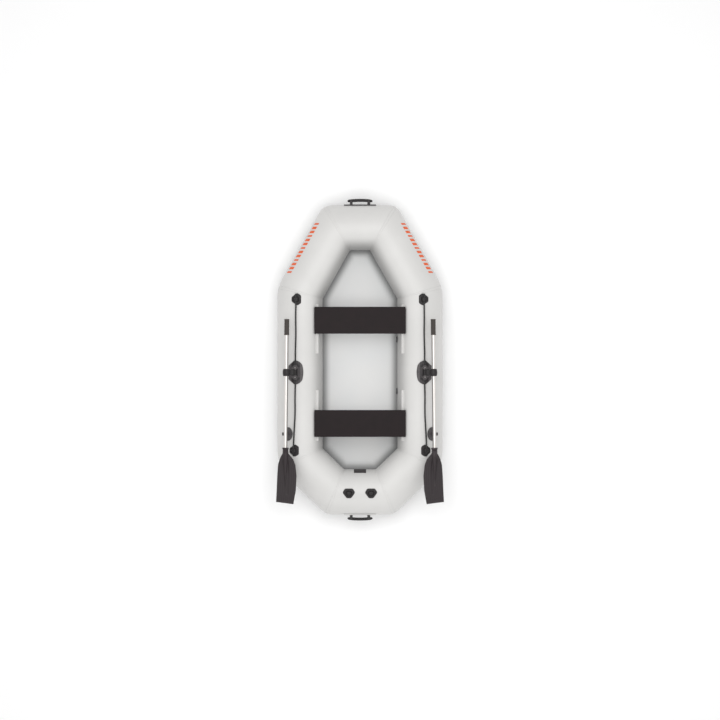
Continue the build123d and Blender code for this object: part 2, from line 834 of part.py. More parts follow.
def seat_rails(ends):
    """A pair of bonded strips, each with a bead on a neck."""
    strip_outer = tube_radius + tape_gap + rail_strip_thickness
    with BuildPart() as rails:
        section = Plane(origin=(side_x, ends[0], tube_z), x_dir=(0, 0, 1), z_dir=(0, -1, 0))
        strip_start = rail_angle - rail_sweep / 2
        strip = band(section, tube_radius + tape_gap, strip_outer, strip_start, rail_sweep)
        extrude(strip, amount=ends[0] - ends[1])
        with BuildSketch(rail_section(ends[0])):
            with Locations((0, rail_bead_height / 2 + 1)):
                Rectangle(rail_neck_width, rail_bead_height - 2)
            with Locations((0, rail_bead_height)):
                Circle(rail_bead_radius)
        extrude(amount=ends[0] - ends[1])
        mirror(about=Plane.YZ)
    return rails.part


save(seat_rails(front_rail_ends), "front_seat_rails")
save(seat_rails(rear_rail_ends), "rear_seat_rails")


def seat_sliders(seat_y):
    """Two blocks under a board's ends, each slotted to run on a rail's bead."""
    section = rail_section(seat_y)
    low = rail_foot + section.y_dir * slider_lift - section.x_dir * slider_low_reach
    high = rail_foot + section.y_dir * slider_lift + section.x_dir * slider_high_reach
    inboard_x = rail_foot.X - slider_inboard
    with BuildPart() as sliders:
        with BuildSketch(Plane(origin=(0, seat_y, 0), x_dir=(1, 0, 0), z_dir=(0, -1, 0))):
            with BuildLine():
                Polyline(
                    (inboard_x, board_underside),
                    (inboard_x, low.Z + low.X - inboard_x - 2),
                    (low.X, low.Z),
                    (high.X, high.Z),
                    (rail_foot.X + slider_outboard, board_underside),
                    close=True,
                )
            make_face()
        extrude(amount=slider_length / 2, both=True)
        with BuildSketch(section):
            with Locations((0, rail_bead_height)):
                Circle(rail_bead_radius + slider_clearance)
            Rectangle(rail_neck_width + 2 * slider_clearance, 2 * rail_bead_height)
        extrude(amount=slider_length, both=True, mode=Mode.SUBTRACT)
        mirror(about=Plane.YZ)
    return sliders.part


def seat_board(seat_y):
    """A flat plywood thwart with a light chamfer round its top."""
    with BuildPart() as board:
        with BuildSketch(Plane(origin=(0, seat_y, board_underside))):
            RectangleRounded(board_length, board_width, 4)
        extrude(amount=board_thickness)
        fillet(board.faces().sort_by(Axis.Z)[-1].edges(), radius=1.5)
    return board.part


for seat_y, name in ((front_seat_y, "front"), (rear_seat_y, "rear")):
    save(seat_sliders(seat_y), f"{name}_seat_sliders")
    save(seat_board(seat_y), f"{name}_seat_board")

# ---- valves on the inboard side of the right-hand tube ----
wall_x = side_x - tube_radius
web_x = wall_x + valve_web_depth
poppet_button_x = wall_x + poppet_button_depth
spring_x = poppet_button_x + poppet_button_thickness + press_gap
valve_flange_radius = valve_body_radius + valve_flange_lip
flange_back = wall_x - valve_cap_gap
flange_front = flange_back - valve_flange_thickness
body_end = wall_x + valve_depth


def inward(x, y):
    """Plane across a valve at a depth, facing outboard into the tube."""
    return Plane(origin=(x, y, tube_z), x_dir=(0, 1, 0), z_dir=(1, 0, 0))


with BuildPart() as valve_bodies:
    for y in valve_places.values():
        with BuildSketch(inward(flange_front, y)):
            Circle(valve_flange_radius)
            Circle(valve_throat_radius, mode=Mode.SUBTRACT)
        extrude(amount=valve_flange_thickness)
        with BuildSketch(inward(flange_front, y)):
            Circle(valve_body_radius)
            Circle(valve_throat_radius, mode=Mode.SUBTRACT)
        extrude(amount=body_end - flange_front)
        with BuildSketch(inward(web_x, y)):
            Circle(valve_throat_radius)
            Circle(poppet_stem_radius + running_gap, mode=Mode.SUBTRACT)
            with PolarLocations(9, 4):
                Circle(3, mode=Mode.SUBTRACT)
        extrude(amount=valve_web)
save(valve_bodies.part, "valve_bodies")

for end, y in valve_places.items():
    with BuildPart() as cap:
        with BuildSketch(inward(flange_front - valve_cap_gap - valve_cap_height, y)):
            Circle(valve_body_radius + valve_cap_lip)
        extrude(amount=valve_cap_height)
        fillet(cap.edges().sort_by(Axis.X)[0], radius=1.5)
        with BuildSketch(inward(flange_front - valve_cap_gap, y)):
            Circle(valve_throat_radius - valve_cap_gap)
        extrude(amount=valve_plug_length)
    save(cap.part, f"valve_cap_{end}")
    with BuildPart() as poppet:
        with BuildSketch(inward(poppet_button_x, y)):
            Circle(spring_outer_radius)
        extrude(amount=poppet_button_thickness)
        with BuildSketch(inward(poppet_button_x, y)):
            Circle(poppet_stem_radius)
        extrude(amount=body_end - poppet_button_x + valve_cap_gap)
        with BuildSketch(inward(body_end + valve_cap_gap, y)):
            Circle(valve_throat_radius + poppet_disc_lap)
        extrude(amount=poppet_disc_thickness)
    save(poppet.part, f"valve_poppet_{end}")

with BuildPart() as springs:
    for y in valve_places.values():
        with BuildSketch(inward(spring_x, y)):
            Circle(spring_outer_radius - 0.5)
            Circle(poppet_stem_radius + 1, mode=Mode.SUBTRACT)
        extrude(amount=web_x - press_gap - spring_x)
save(springs.part, "valve_springs")
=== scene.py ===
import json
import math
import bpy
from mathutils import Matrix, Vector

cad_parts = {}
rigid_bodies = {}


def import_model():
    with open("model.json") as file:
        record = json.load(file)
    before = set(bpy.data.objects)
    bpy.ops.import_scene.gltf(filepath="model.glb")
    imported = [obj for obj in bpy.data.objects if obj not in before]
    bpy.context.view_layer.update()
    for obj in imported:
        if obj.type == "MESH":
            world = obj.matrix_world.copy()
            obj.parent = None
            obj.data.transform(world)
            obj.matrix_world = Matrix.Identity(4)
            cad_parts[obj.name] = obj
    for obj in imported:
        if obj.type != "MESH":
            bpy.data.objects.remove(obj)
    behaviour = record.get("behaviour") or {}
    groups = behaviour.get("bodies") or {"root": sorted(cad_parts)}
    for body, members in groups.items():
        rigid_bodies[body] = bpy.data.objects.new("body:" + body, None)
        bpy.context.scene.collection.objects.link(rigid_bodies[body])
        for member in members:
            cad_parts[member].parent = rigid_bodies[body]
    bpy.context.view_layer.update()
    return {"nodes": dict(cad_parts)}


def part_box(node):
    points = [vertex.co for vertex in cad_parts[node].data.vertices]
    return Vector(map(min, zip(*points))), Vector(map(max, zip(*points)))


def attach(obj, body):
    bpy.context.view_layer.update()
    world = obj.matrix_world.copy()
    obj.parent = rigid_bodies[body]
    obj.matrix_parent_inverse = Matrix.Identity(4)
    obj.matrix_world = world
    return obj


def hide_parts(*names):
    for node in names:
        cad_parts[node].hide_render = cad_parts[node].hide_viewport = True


bl_info = {
    "name": "Inflatable Rowing Boat",
    "version": (1, 0, 0),
    "blender": (4, 5, 0),
    "location": "View3D > Sidebar > Rowing Boat",
    "description": "Dresses the frame of an inflatable rowing boat with fabric, ropes and fittings",
    "category": "Object",
}

from functools import cache, partial

import bmesh
import bpy
from bpy.props import FloatProperty, FloatVectorProperty, IntProperty, PointerProperty
from mathutils import Matrix, Vector, noise

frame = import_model()
MM = 0.001
UP = Vector((0, 0, 1))
SIDES = {"right": 1, "left": -1}
CORNERS = 8

# ---- places, read from the frame ----
bow_low, bow_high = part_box("bow_tube")
side_low, side_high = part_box("fore_side_tube_right")
aft_low, aft_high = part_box("aft_side_tube_right")
stern_low, stern_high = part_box("stern_tube")
floor_low, floor_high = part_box("floor_sheet")
TUBE_RADIUS = (bow_high.z - bow_low.z) / 2
SIDE_X = side_high.x - TUBE_RADIUS
BULKHEAD_Y = side_low.y
STERN_Y = stern_low.y + TUBE_RADIUS

# ---- colour and node helpers ----
# a Mix node's colour sockets: its factor, its two colours and its result
FACTOR, FIRST, SECOND, MIXED = 0, 6, 7, 2
# how far apart a wave texture's bands are at a scale of 1, in metres
BAND = 0.31


def linear(code):
    """Turn an sRGB hex colour into the linear values that shaders want."""
    values = [int(code[i : i + 2], 16) / 255 for i in (0, 2, 4)]
    return (*[v / 12.92 if v <= 0.04045 else ((v + 0.055) / 1.055) ** 2.4 for v in values], 1.0)


def add_node(tree, kind, inputs=None, out=0, stops=(), **settings):
    """Add a node, give it its settings and its ramp's stops, fill or link its inputs,
    and return one of its outputs."""
    node = tree.nodes.new("ShaderNode" + kind)
    for key, value in settings.items():
        setattr(node, key, value)
    for key, value in (inputs or {}).items():
        if isinstance(value, bpy.types.NodeSocket):
            tree.links.new(value, node.inputs[key])
        else:
            node.inputs[key].default_value = value
    for index, (position, colour) in enumerate(stops):
        band = node.color_ramp.elements[index]
        band.position = position
        band.color = linear(colour) if isinstance(colour, str) else colour
    return node.outputs[out] if node.outputs else None


def new_material(name, uv_map=None, **shader):
    """A named material with one principled shader, a function that adds nodes to it, and the
    coordinates that its patterns read: the object's own, or a map's."""
    material = bpy.data.materials.new(name)
    material.use_nodes = True
    material.node_tree.nodes.clear()
    add = partial(add_node, material.node_tree)
    add("OutputMaterial", {"Surface": add("BsdfPrincipled", shader)})
    if uv_map:
        return material, add, add("UVMap", out="UV", uv_map=uv_map)
    return material, add, add("TexCoord", out="Object")


def dress(material, colour, gloss=None, layers=()):
    """Link a material's colour, its roughness and its bumps to its shader.

    gloss is a factor with the roughness at 0 and at 1, and each layer is a height with how far
    it stands in metres.
    """
    tree = material.node_tree
    shader = next(node for node in tree.nodes if node.type == "BSDF_PRINCIPLED").inputs
    tree.links.new(colour, shader["Base Color"])
    if gloss:
        factor, low, high = gloss
        rough = add_node(tree, "MapRange", {"Value": factor, "To Min": low, "To Max": high})
        tree.links.new(rough, shader["Roughness"])
    inputs = {"Strength": 1.0}
    for height, distance in layers:
        inputs |= {"Height": height, "Distance": distance}
        inputs["Normal"] = add_node(tree, "Bump", inputs)
    if layers:
        tree.links.new(inputs["Normal"], shader["Normal"])
    return material


def crossed_bands(add, place, spacing, distortion, operation):
    """Two sets of bands that cross, as threads or wires do."""
    inputs = {"Vector": place, "Scale": BAND / spacing, "Distortion": distortion}
    across, along = [add("TexWave", inputs, "Fac", bands_direction=way) for way in ("X", "Y")]
    return add("Math", {0: across, 1: along}, operation=operation)


# ---- materials ----
def coated_fabric(name, colour, shade, painted_shade_colour, gloss, crease):
    """PVC-coated polyester: calendered skin, satin, with the weave just printing through."""
    shader = {"Roughness": gloss, "IOR": 1.5, "Coat Weight": 0.08, "Coat Roughness": 0.3}
    material, add, place = new_material(name, **shader)
    cloud = add("TexNoise", {"Vector": place, "Scale": 1 / 0.35, "Detail": 3.0})
    tone_and_shade = add("ValToRGB", {"Fac": cloud}, stops=[(0.3, shade), (0.62, colour)])
    # painted shade: the colour is darkened in nooks by ambient occlusion, and on the tubes' inner
    # flanks and round the floor's rim by a per-vertex attribute
    nook_shade = add("AmbientOcclusion", {"Distance": 0.34}, "AO", samples=8)
    painted_shade = add("Attribute", out="Fac", attribute_name="painted_shade")
    for where, stops in (
        (nook_shade, [(0.05, "BCBCBC"), (0.36, "FFFFFF")]),
        (painted_shade, [(0.0, "FFFFFF"), (1.0, painted_shade_colour)]),
    ):
        shade_tint = add("ValToRGB", {"Fac": where}, stops=stops)
        inputs = {FACTOR: 1.0, FIRST: tone_and_shade, SECOND: shade_tint}
        tone_and_shade = add("Mix", inputs, MIXED, data_type="RGBA", blend_type="MULTIPLY")
    # 1.1 mm threads are drawn at 2.4 mm so that the weave can be seen at all
    turned = add("Mapping", {"Vector": place, "Rotation": (0.0, 0.0, math.radians(45))})
    threads = crossed_bands(add, turned, 2.4 * MM, 0.6, "ADD")
    handling = add("TexNoise", {"Vector": place, "Scale": 1 / 0.05, "Detail": 4.0})
    creases = add("TexNoise", {"Vector": place, "Scale": 1 / 0.16})
    pebbles = add("TexNoise", {"Vector": place, "Scale": 1 / 0.018})
    layers = [(creases, crease), (pebbles, 0.05 * MM), (threads, 0.012 * MM)]
    return dress(material, tone_and_shade, (handling, gloss - 0.06, gloss + 0.08), layers)


def moulded(name, colour, wear_and_highlight_colour, gloss, bump=0.05):
    """Injection-moulded plastic or rubber: fine spark-eroded grain, edges and domes lighter, partly
    from scuffing and partly as a painted highlight.
    """
    shader = {"Roughness": gloss, "IOR": 1.49, "Specular IOR Level": 0.28}
    material, add, place = new_material(name, **shader)
    noises = {"Vector": place, "Scale": 1 / 0.012, "Detail": 4.0, "Roughness": 0.65}
    scuff = add("TexNoise", noises)
    # edges and domes are lightened by their pointiness: partly scuffing, partly a painted highlight
    edge = add("NewGeometry", out="Pointiness")
    brightened = add("MapRange", {"Value": edge, "From Min": 0.52, "From Max": 0.6})
    wear_and_highlight = add("Math", {0: brightened, 1: scuff}, operation="MULTIPLY")
    tone = add("ValToRGB", {"Fac": wear_and_highlight}, stops=[(0.0, colour), (0.7, wear_and_highlight_colour)])
    sinks = add("TexNoise", {"Vector": place, "Scale": 1 / 0.02})
    sparks = add("TexNoise", {"Vector": place, "Scale": 1 / (1.2 * MM), "Detail": 3.0})
    layers = [(sinks, 2 * bump * MM), (sparks, bump * MM)]
    return dress(material, tone, (scuff, gloss - 0.08, gloss + 0.1), layers)


def patch_and_posts():
    """The stern handle's welded fabric patch in the hull's grey, with black moulded posts."""
    material, add, place = new_material("hull_patch_black_posts", IOR=1.49)
    aft = add("SeparateXYZ", {0: place}, "Y")
    patch_top = stern_low.y - 5.3 * MM
    post = add("Math", {0: aft, 1: patch_top}, operation="LESS_THAN")
    cloud = add("TexNoise", {"Vector": place, "Scale": 1 / 0.02, "Detail": 3.0})
    fabric = add("ValToRGB", {"Fac": cloud}, stops=[(0.3, "C4C3C1"), (0.7, "C9C8C6")])
    black = add("ValToRGB", {"Fac": cloud}, stops=[(0.3, "1B191A"), (0.7, "262324")])
    mixed = add("Mix", {FACTOR: post, FIRST: fabric, SECOND: black}, MIXED, data_type="RGBA")
    sparks = add("TexNoise", {"Vector": place, "Scale": 1 / (1.2 * MM), "Detail": 3.0})
    return dress(material, mixed, (cloud, 0.42, 0.52), [(sparks, 0.04 * MM)])


def drawn_aluminium(side):
    """Drawn and anodised tube: pale satin metal with fine draw lines along its length."""
    name = f"anodised_aluminium_tube_{side}"
    material, add, place = new_material(name, Metallic=0.8, Roughness=0.3)
    stretched = add("Mapping", {"Vector": place, "Scale": (1.0, 0.02, 1.0)})
    noises = {"Vector": stretched, "Scale": 1 / (1.1 * MM), "Detail": 3.0, "Roughness": 0.7}
    lines = add("TexNoise", noises)
    # painted light: the tube is painted bright along its top, more so outboard, and painted in
    # shade down its sides and on its inboard side, so each oar has its own copy of the material
    low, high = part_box(f"oar_shaft_{side}")
    axis, radius = (low.z + high.z) / 2, (high.z - low.z) / 2
    oar = oar_matrix(side)
    outboard = oar.col[1].xyz
    middle = outboard.dot(oar.translation)
    level = add("SeparateXYZ", {0: place}, "Z")
    reach = add("VectorMath", {0: place, 1: tuple(outboard)}, "Value", operation="DOT_PRODUCT")
    crown, outer = [
        add("MapRange", {"Value": value, "From Min": shaded_end, "From Max": lit_end})
        for value, shaded_end, lit_end in (
            (level, axis - 0.1 * radius, axis + 0.6 * radius),
            (reach, middle - radius, middle - 0.1 * radius),
        )
    ]
    brightened = add("Math", {0: crown, 1: outer}, operation="MULTIPLY")
    shaded_tone = add("ValToRGB", {"Fac": lines}, stops=[(0.3, "6A6865"), (0.7, "767471")])
    bright = add("ValToRGB", {"Fac": lines}, stops=[(0.3, "D2CECA"), (0.7, "E2DEDA")])
    metal = add("Mix", {FACTOR: brightened, FIRST: shaded_tone, SECOND: bright}, MIXED, data_type="RGBA")
    return dress(material, metal, (lines, 0.28, 0.42), [(lines, 0.01 * MM)])


def bright_steel():
    """Turned A2 stainless pins and bolts: bright, with faint turning marks."""
    material, add, place = new_material("turned_stainless_steel", Metallic=1.0)
    noises = {"Vector": place, "Scale": 1 / (0.8 * MM), "Detail": 4.0, "Roughness": 0.6}
    marks = add("TexNoise", noises)
    tone = add("ValToRGB", {"Fac": marks}, stops=[(0.25, "8F8C88"), (0.75, "C9C6C2")])
    return dress(material, tone, (marks, 0.22, 0.4), [(marks, 0.01 * MM)])


def film_faced_plywood():
    """Birch plywood under a hot-pressed phenolic film: dark brown with a pressed mesh."""
    shader = {"IOR": 1.5, "Specular IOR Level": 0.12}
    material, add, place = new_material("film_faced_plywood", **shader)
    cloud = add("TexNoise", {"Vector": place, "Scale": 1 / 0.09, "Detail": 4.0})
    film = add("ValToRGB", {"Fac": cloud}, stops=[(0.3, "1C1617"), (0.7, "221B1C")])
    height = add("SeparateXYZ", {0: add("NewGeometry", out="Normal")}, "Z")
    upright = add("Math", {0: height}, operation="ABSOLUTE")
    face = add("MapRange", {"Value": upright, "From Min": 0.6, "From Max": 0.95})
    # eight 1.5 mm plies show through the sealing paint on the cut edges
    level = add("SeparateXYZ", {0: place}, "Z")
    plies = add("Math", {0: level, 1: 2 * math.pi / (3.0 * MM)}, operation="MULTIPLY")
    bands = add("Math", {0: plies}, operation="SINE")
    edge = add("ValToRGB", {"Fac": bands}, stops=[(0.1, "151011"), (0.9, "2A2122")])
    mixed = add("Mix", {FACTOR: face, FIRST: edge, SECOND: film}, MIXED, data_type="RGBA")
    # the pressed wire mesh has a 5 mm pitch
    wires = crossed_bands(add, place, 5 * MM, 0.0, "MULTIPLY")
    return dress(material, mixed, (cloud, 0.42, 0.58), [(wires, 0.08 * MM), (cloud, 0.1 * MM)])


def braided_rope():
    """Sixteen-plait polypropylene line: crossing strands of matt black fibre."""
    material, add, skin = new_material("braided_polypropylene", "UVMap", **{"Sheen Weight": 0.15})
    plaits = []
    for turn in (1, -1):
        lean = turn * math.radians(45)
        turned = add("Mapping", {"Vector": skin, "Rotation": (0.0, 0.0, lean)})
        inputs = {"Vector": turned, "Scale": 1.3, "Distortion": 0.8}
        plaits.append(add("TexWave", inputs, "Fac"))
    braid = add("Math", {0: plaits[0], 1: plaits[1]}, operation="MULTIPLY")
    tone = add("ValToRGB", {"Fac": braid}, stops=[(0.05, "131212"), (0.6, "2E2D2D")])
    return dress(material, tone, (braid, 0.85, 0.55), [(braid, 0.5 * MM)])


def printed_orange():
    """Screen-printed vinyl ink: even orange, slightly thicker than the skin it lies on."""
    material, add, place = new_material("screen_printed_vinyl_ink", IOR=1.5)
    patchy = add("TexNoise", {"Vector": place, "Scale": 1 / 0.006, "Detail": 3.0})
    tone = add("ValToRGB", {"Fac": patchy}, stops=[(0.3, "D65012"), (0.7, "DE5E1E")])
    return dress(material, tone, (patchy, 0.4, 0.55), [(patchy, 0.02 * MM)])


# each finish: what makes it, its name, its colours, its roughness and its relief
FINISHES = {
    # the hull's and the floor's third colour is their painted shade
    "hull": (coated_fabric, "pvc_coated_fabric", "C9C8C6", "C4C3C1", "B0B0B0", 0.46, 1.4 * MM),
    "floor": (coated_fabric, "pvc_floor_fabric", "DFDFDE", "DBDCDC", "999999", 0.5, 2.0 * MM),
    "fitting": (moulded, "moulded_pvc_fitting", "211E1F", "5A5758", 0.42),
    "lock": (moulded, "glass_filled_nylon", "262324", "5A5657", 0.42),
    "arm": (moulded, "glass_filled_nylon_black", "0D0C0C", "2E2C2C", 0.5),
    "grip": (moulded, "ribbed_rubber_grip", "3C3835", "635E5A", 0.72, 0.09),
    "blade": (moulded, "moulded_polypropylene", "2D2729", "534D4F", 0.48),
    "rail": (moulded, "extruded_white_pvc", "C9C8C6", "D2D1CF", 0.4, 0.02),
    "valve": (moulded, "valve_polyamide", "3A3A3B", "6A6A6B", 0.45),
    "plate": (moulded, "embossed_rubber_plate", "242123", "454142", 0.6),
    "patch": (patch_and_posts,),
    "shaft_right": (drawn_aluminium, "right"),
    "shaft_left": (drawn_aluminium, "left"),
    "steel": (bright_steel,),
    "plywood": (film_faced_plywood,),
    "rope": (braided_rope,),
    "ink": (printed_orange,),
}


@cache
def finish_of(name):
    """The material of that name, made the first time it is asked for."""
    make, *values = FINISHES[name]
    return make(*values)


# ---- mesh helpers ----
def new_object(name, data):
    """A new object in the scene."""
    made = bpy.data.objects.new(name, data)
    bpy.context.scene.collection.objects.link(made)
    return made


def mesh_object(mesh_edit, name, material):
    """Turn a bmesh into an object with a material."""
    mesh = bpy.data.meshes.new(name)
    mesh_edit.to_mesh(mesh)
    mesh_edit.free()
    mesh.materials.append(material)
    return new_object(name, mesh)


def finish_mesh(mesh_edit, name, finish, body="hull", place=None, recalculate=True):
    """Turn a bmesh, first moved to its place, into a smooth piece that rides on a body."""
    if place is not None:
        bmesh.ops.transform(mesh_edit, matrix=place, verts=mesh_edit.verts)
    if recalculate:
        bmesh.ops.recalc_face_normals(mesh_edit, faces=mesh_edit.faces)
    for face in mesh_edit.faces:
        face.smooth = True
    piece = mesh_object(mesh_edit, name, finish_of(finish))
    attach(piece, body)
    return piece


def thicken(piece, thickness):
    """Give a sheet its thickness, below its face."""
    solid = piece.modifiers.new("Solidify", "SOLIDIFY")
    solid.thickness = thickness
    solid.offset = -1.0


def ring_chain(mesh_edit, places, segments):
    """Extrude one circle through a list of placing matrices, close it, and return its rings."""
    start = bmesh.ops.create_circle(mesh_edit, cap_ends=False, radius=1.0, segments=segments)
    ring = start["verts"]
    bmesh.ops.transform(mesh_edit, matrix=places[0], verts=ring)
    edges = list(dict.fromkeys(edge for vert in ring for edge in vert.link_edges))
    rings = [list(ring)]
    for before, here in zip(places, places[1:]):
        grown = bmesh.ops.extrude_edge_only(mesh_edit, edges=edges)["geom"]
        ring = [part for part in grown if isinstance(part, bmesh.types.BMVert)]
        edges = [part for part in grown if isinstance(part, bmesh.types.BMEdge)
                 and part.verts[0] in ring and part.verts[1] in ring]
        bmesh.ops.transform(mesh_edit, matrix=here @ before.inverted(), verts=ring)
        rings.append(ring)
    for end in (rings[0], rings[-1]):
        cap = bmesh.ops.contextual_create(mesh_edit, geom=end)["faces"][0]
        for edge in cap.edges:
            edge.smooth = False
    return rings


def section_matrix(middle, across, up, half_width, half_height):
    """Place a unit circle as a tube section: its x goes across and its y goes up."""
    forward = across.cross(up).normalized()
    turned = Matrix((across, up, forward)).transposed().to_4x4()
    size = Matrix.Diagonal((half_width, half_height, 1.0, 1.0))
    return Matrix.Translation(middle) @ turned @ size


def smoothstep(value):
    """Ease from 0 to 1."""
    value = min(max(value, 0.0), 1.0)
    return value * value * (3 - 2 * value)


def hump(distance, width):
    """A bell-shaped rise of 1 that fades over a width."""
    return math.exp(-((distance / width) ** 2))


# ---- the hull's plan ----
def fillet(corner, before, after, radius, steps):
    """Points on an arc that rounds a corner of a plan outline."""
    into = (corner - before).normalized()
    out = (after - corner).normalized()
    turn = into.angle(out)
    reach = radius * math.tan(turn / 2)
    first = corner - into * reach
    centre = corner + (out - into).normalized() * (radius / math.cos(turn / 2))
    arm = first - centre
    sense = 1 if into.x * out.y - into.y * out.x > 0 else -1
    swings = [Matrix.Rotation(sense * turn * step / steps, 2) for step in range(steps + 1)]
    return [centre + swing @ arm for swing in swings]


def outer_corners():
    """The hull's eight outer corners in plan, clockwise from the left of the bow."""
    right = [
        bow_high.xy,
        side_high.xy,
        Vector((aft_high.x, aft_low.y)),
        Vector((stern_high.x, stern_low.y)),
    ]
    left = [Vector((-corner.x, corner.y)) for corner in reversed(right)]
    return [left[-1]] + right + left[:-1]


def inset(corners, depth):
    """A closed plan outline moved in by a depth."""
    moved = []
    for i, corner in enumerate(corners):
        into = (corner - corners[i - 1]).normalized()
        out = (corners[(i + 1) % len(corners)] - corner).normalized()
        inward = (Vector((into.y, -into.x)) + Vector((out.y, -out.x))).normalized()
        moved.append(corner + inward * (depth / math.cos(into.angle(out) / 2)))
    return moved


def corner_arcs(look, i, steps):
    """The arcs that round one corner of the ring in plan: its inner one and its outer one."""
    outer = outer_corners()
    inner = inset(outer, 2 * TUBE_RADIUS)
    before, after = (i - 1) % CORNERS, (i + 1) % CORNERS
    shoulders = [look.shoulder] * 2
    radii = [look.bow_corner] * 2 + shoulders + [look.stern_corner] * 2 + shoulders
    return (
        fillet(inner[i], inner[before], inner[after], look.inner_corner, steps),
        fillet(outer[i], outer[before], outer[after], radii[i], steps),
    )


def hull_stations(look):
    """Pairs of inner and outer plan points, clockwise round the ring."""
    stations = []
    for i in range(CORNERS):
        fan = list(zip(*corner_arcs(look, i, look.corner_steps)))
        if stations:
            (inner, outer), (next_inner, next_outer) = stations[-1], fan[0]
            count = max(2, round((next_outer - outer).length / look.station_pitch))
            for step in range(1, count):
                share = step / count
                stations.append((inner.lerp(next_inner, share), outer.lerp(next_outer, share)))
        stations += fan
    return stations


# ---- settings that a user may change ----
class HullLook(bpy.types.PropertyGroup):
    bow_corner: FloatProperty(name="Bow corner", default=0.116, unit="LENGTH",
        description="Rounding of the bow's outer corners")
    stern_corner: FloatProperty(name="Stern corner", default=0.127, unit="LENGTH",
        description="Rounding of the stern's outer corners")
    shoulder: FloatProperty(name="Shoulder", default=0.35, unit="LENGTH",
        description="Rounding of the four outer shoulders")
    inner_corner: FloatProperty(name="Inner corner", default=0.014, unit="LENGTH",
        description="Rounding of the inner corners")
    station_pitch: FloatProperty(name="Station pitch", default=0.04, unit="LENGTH",
        description="Spacing of sections on straight runs")
    corner_steps: IntProperty(name="Corner steps", default=14,
        description="Sections in each rounded corner")
    segments: IntProperty(name="Segments", default=72,
        description="Points round each tube section")
    tape_width: FloatProperty(name="Tape width", default=0.028, unit="LENGTH",
        description="Width of the seam tapes at the outside")
    pucker: FloatProperty(name="Pucker", default=0.0022, unit="LENGTH",
        description="Depth of the folds at the inner corners")


class StripeLook(bpy.types.PropertyGroup):
    bars: IntProperty(name="Bars", default=13,
        description="Printed bars on each side of the bow")
    length: FloatProperty(name="Length", default=0.463, unit="LENGTH",
        description="Length of the row of bars")
    low_angle: FloatProperty(name="Low angle", default=math.radians(69), subtype="ANGLE",
        description="Lower edge, out from the crest")
    high_angle: FloatProperty(name="High angle", default=math.radians(50), subtype="ANGLE",
        description="Upper edge, out from the crest")
    slant: FloatProperty(name="Slant", default=0.016, unit="LENGTH",
        description="How far a bar's top leans forward")


class RopeLook(bpy.types.PropertyGroup):
    diameter: FloatProperty(name="Diameter", default=0.012, unit="LENGTH",
        description="Lifeline thickness")
    length: FloatProperty(name="Length", default=1.225, unit="LENGTH",
        description="Length of each lifeline")


class StageLook(bpy.types.PropertyGroup):
    ground: FloatVectorProperty(name="Ground", subtype="COLOR", default=(0.94, 0.94, 0.94),
        description="Floor colour")
    lens: FloatProperty(name="Lens", default=300.0,
        description="Camera focal length in millimetres")
    view_width: FloatProperty(name="View width", default=5.585, unit="LENGTH",
        description="What the view takes in at tube height")
    key: FloatProperty(name="Key light", default=65.0,
        description="Power of the overhead softbox in watts")


# ---- hull ----
# room between each chamber and the bulkhead
END_GAP = 0.1 * MM
# the skin is gathered this far from an inner corner, in this many folds to a full turn
PUCKER_REACH = 0.26
PUCKER_FADE = 0.11
PUCKER_FOLDS = 15


def pucker_at(point, corners, depth):
    """Small folds that fan out from the inner corners, where the skin is gathered."""
    drop = 0.0
    for corner in corners:
        flat = point.xy - corner
        if flat.length < PUCKER_REACH:
            around = math.atan2(flat.y, flat.x)
            wave = math.sin(around * PUCKER_FOLDS + 3 * noise.noise(point * 9))
            uneven = noise.noise(point * 21 + Vector((3, 1, 2)))
            drop += depth * hump(flat.length, PUCKER_FADE) * (0.5 + 0.5 * wave) * uneven
    return drop


def tube_section(inner, outer, proud=0.0):
    """Place a tube's round section between its inner and outer plan points."""
    across = (outer - inner).to_3d()
    middle = ((outer + inner) / 2).to_3d() + UP * TUBE_RADIUS
    half_width = across.length / 2 + proud
    return section_matrix(middle, across.normalized(), UP, half_width, TUBE_RADIUS + proud)


def tube_skin(look, name, places):
    """A run of the tube's skin through its sections, with painted shade on its inner flank,
    gathered and finished.
    """
    mesh_edit = bmesh.new()
    # the layer comes first, because adding one drops every vertex held so far
    painted_shade = mesh_edit.verts.layers.float.new("painted_shade")
    rings = ring_chain(mesh_edit, places, look.segments)
    for ring, place in zip(rings, places):
        outward = place.col[0].xyz.normalized()
        # painted shade on the inner flanks, darkest at the bow and faintest at the stern
        weight = 0.56 + (0.38 if outward.y > 0 else 0.48) * outward.y
        back = place.inverted()
        for vert in ring:
            inside = -(back @ vert.co).x
            vert[painted_shade] = weight * smoothstep((inside - 0.4) / 0.65)
    corners = inset(outer_corners(), 2 * TUBE_RADIUS)
    for vert in mesh_edit.verts:
        drop = pucker_at(vert.co, corners, look.pucker)
        vert.co.z -= drop if vert.co.z > TUBE_RADIUS else -drop
    return finish_mesh(mesh_edit, name, "hull")


def tube_chamber(look, name, keep_fore):
    """One air chamber: half of the ring, closed at the bulkheads."""
    stations = hull_stations(look)
    aft = [i for i, (inner, outer) in enumerate(stations) if inner.y <= BULKHEAD_Y]
    if keep_fore:
        pairs = stations[aft[-1] + 1 :] + stations[: aft[0]]
    else:
        pairs = stations[aft[0] : aft[-1] + 1]
    end_y = BULKHEAD_Y + (END_GAP if keep_fore else -END_GAP)
    start, end = [[Vector((spot.x, end_y)) for spot in pairs[i]] for i in (0, -1)]
    return tube_skin(look, name, [tube_section(*pair) for pair in [start, *pairs, end]])


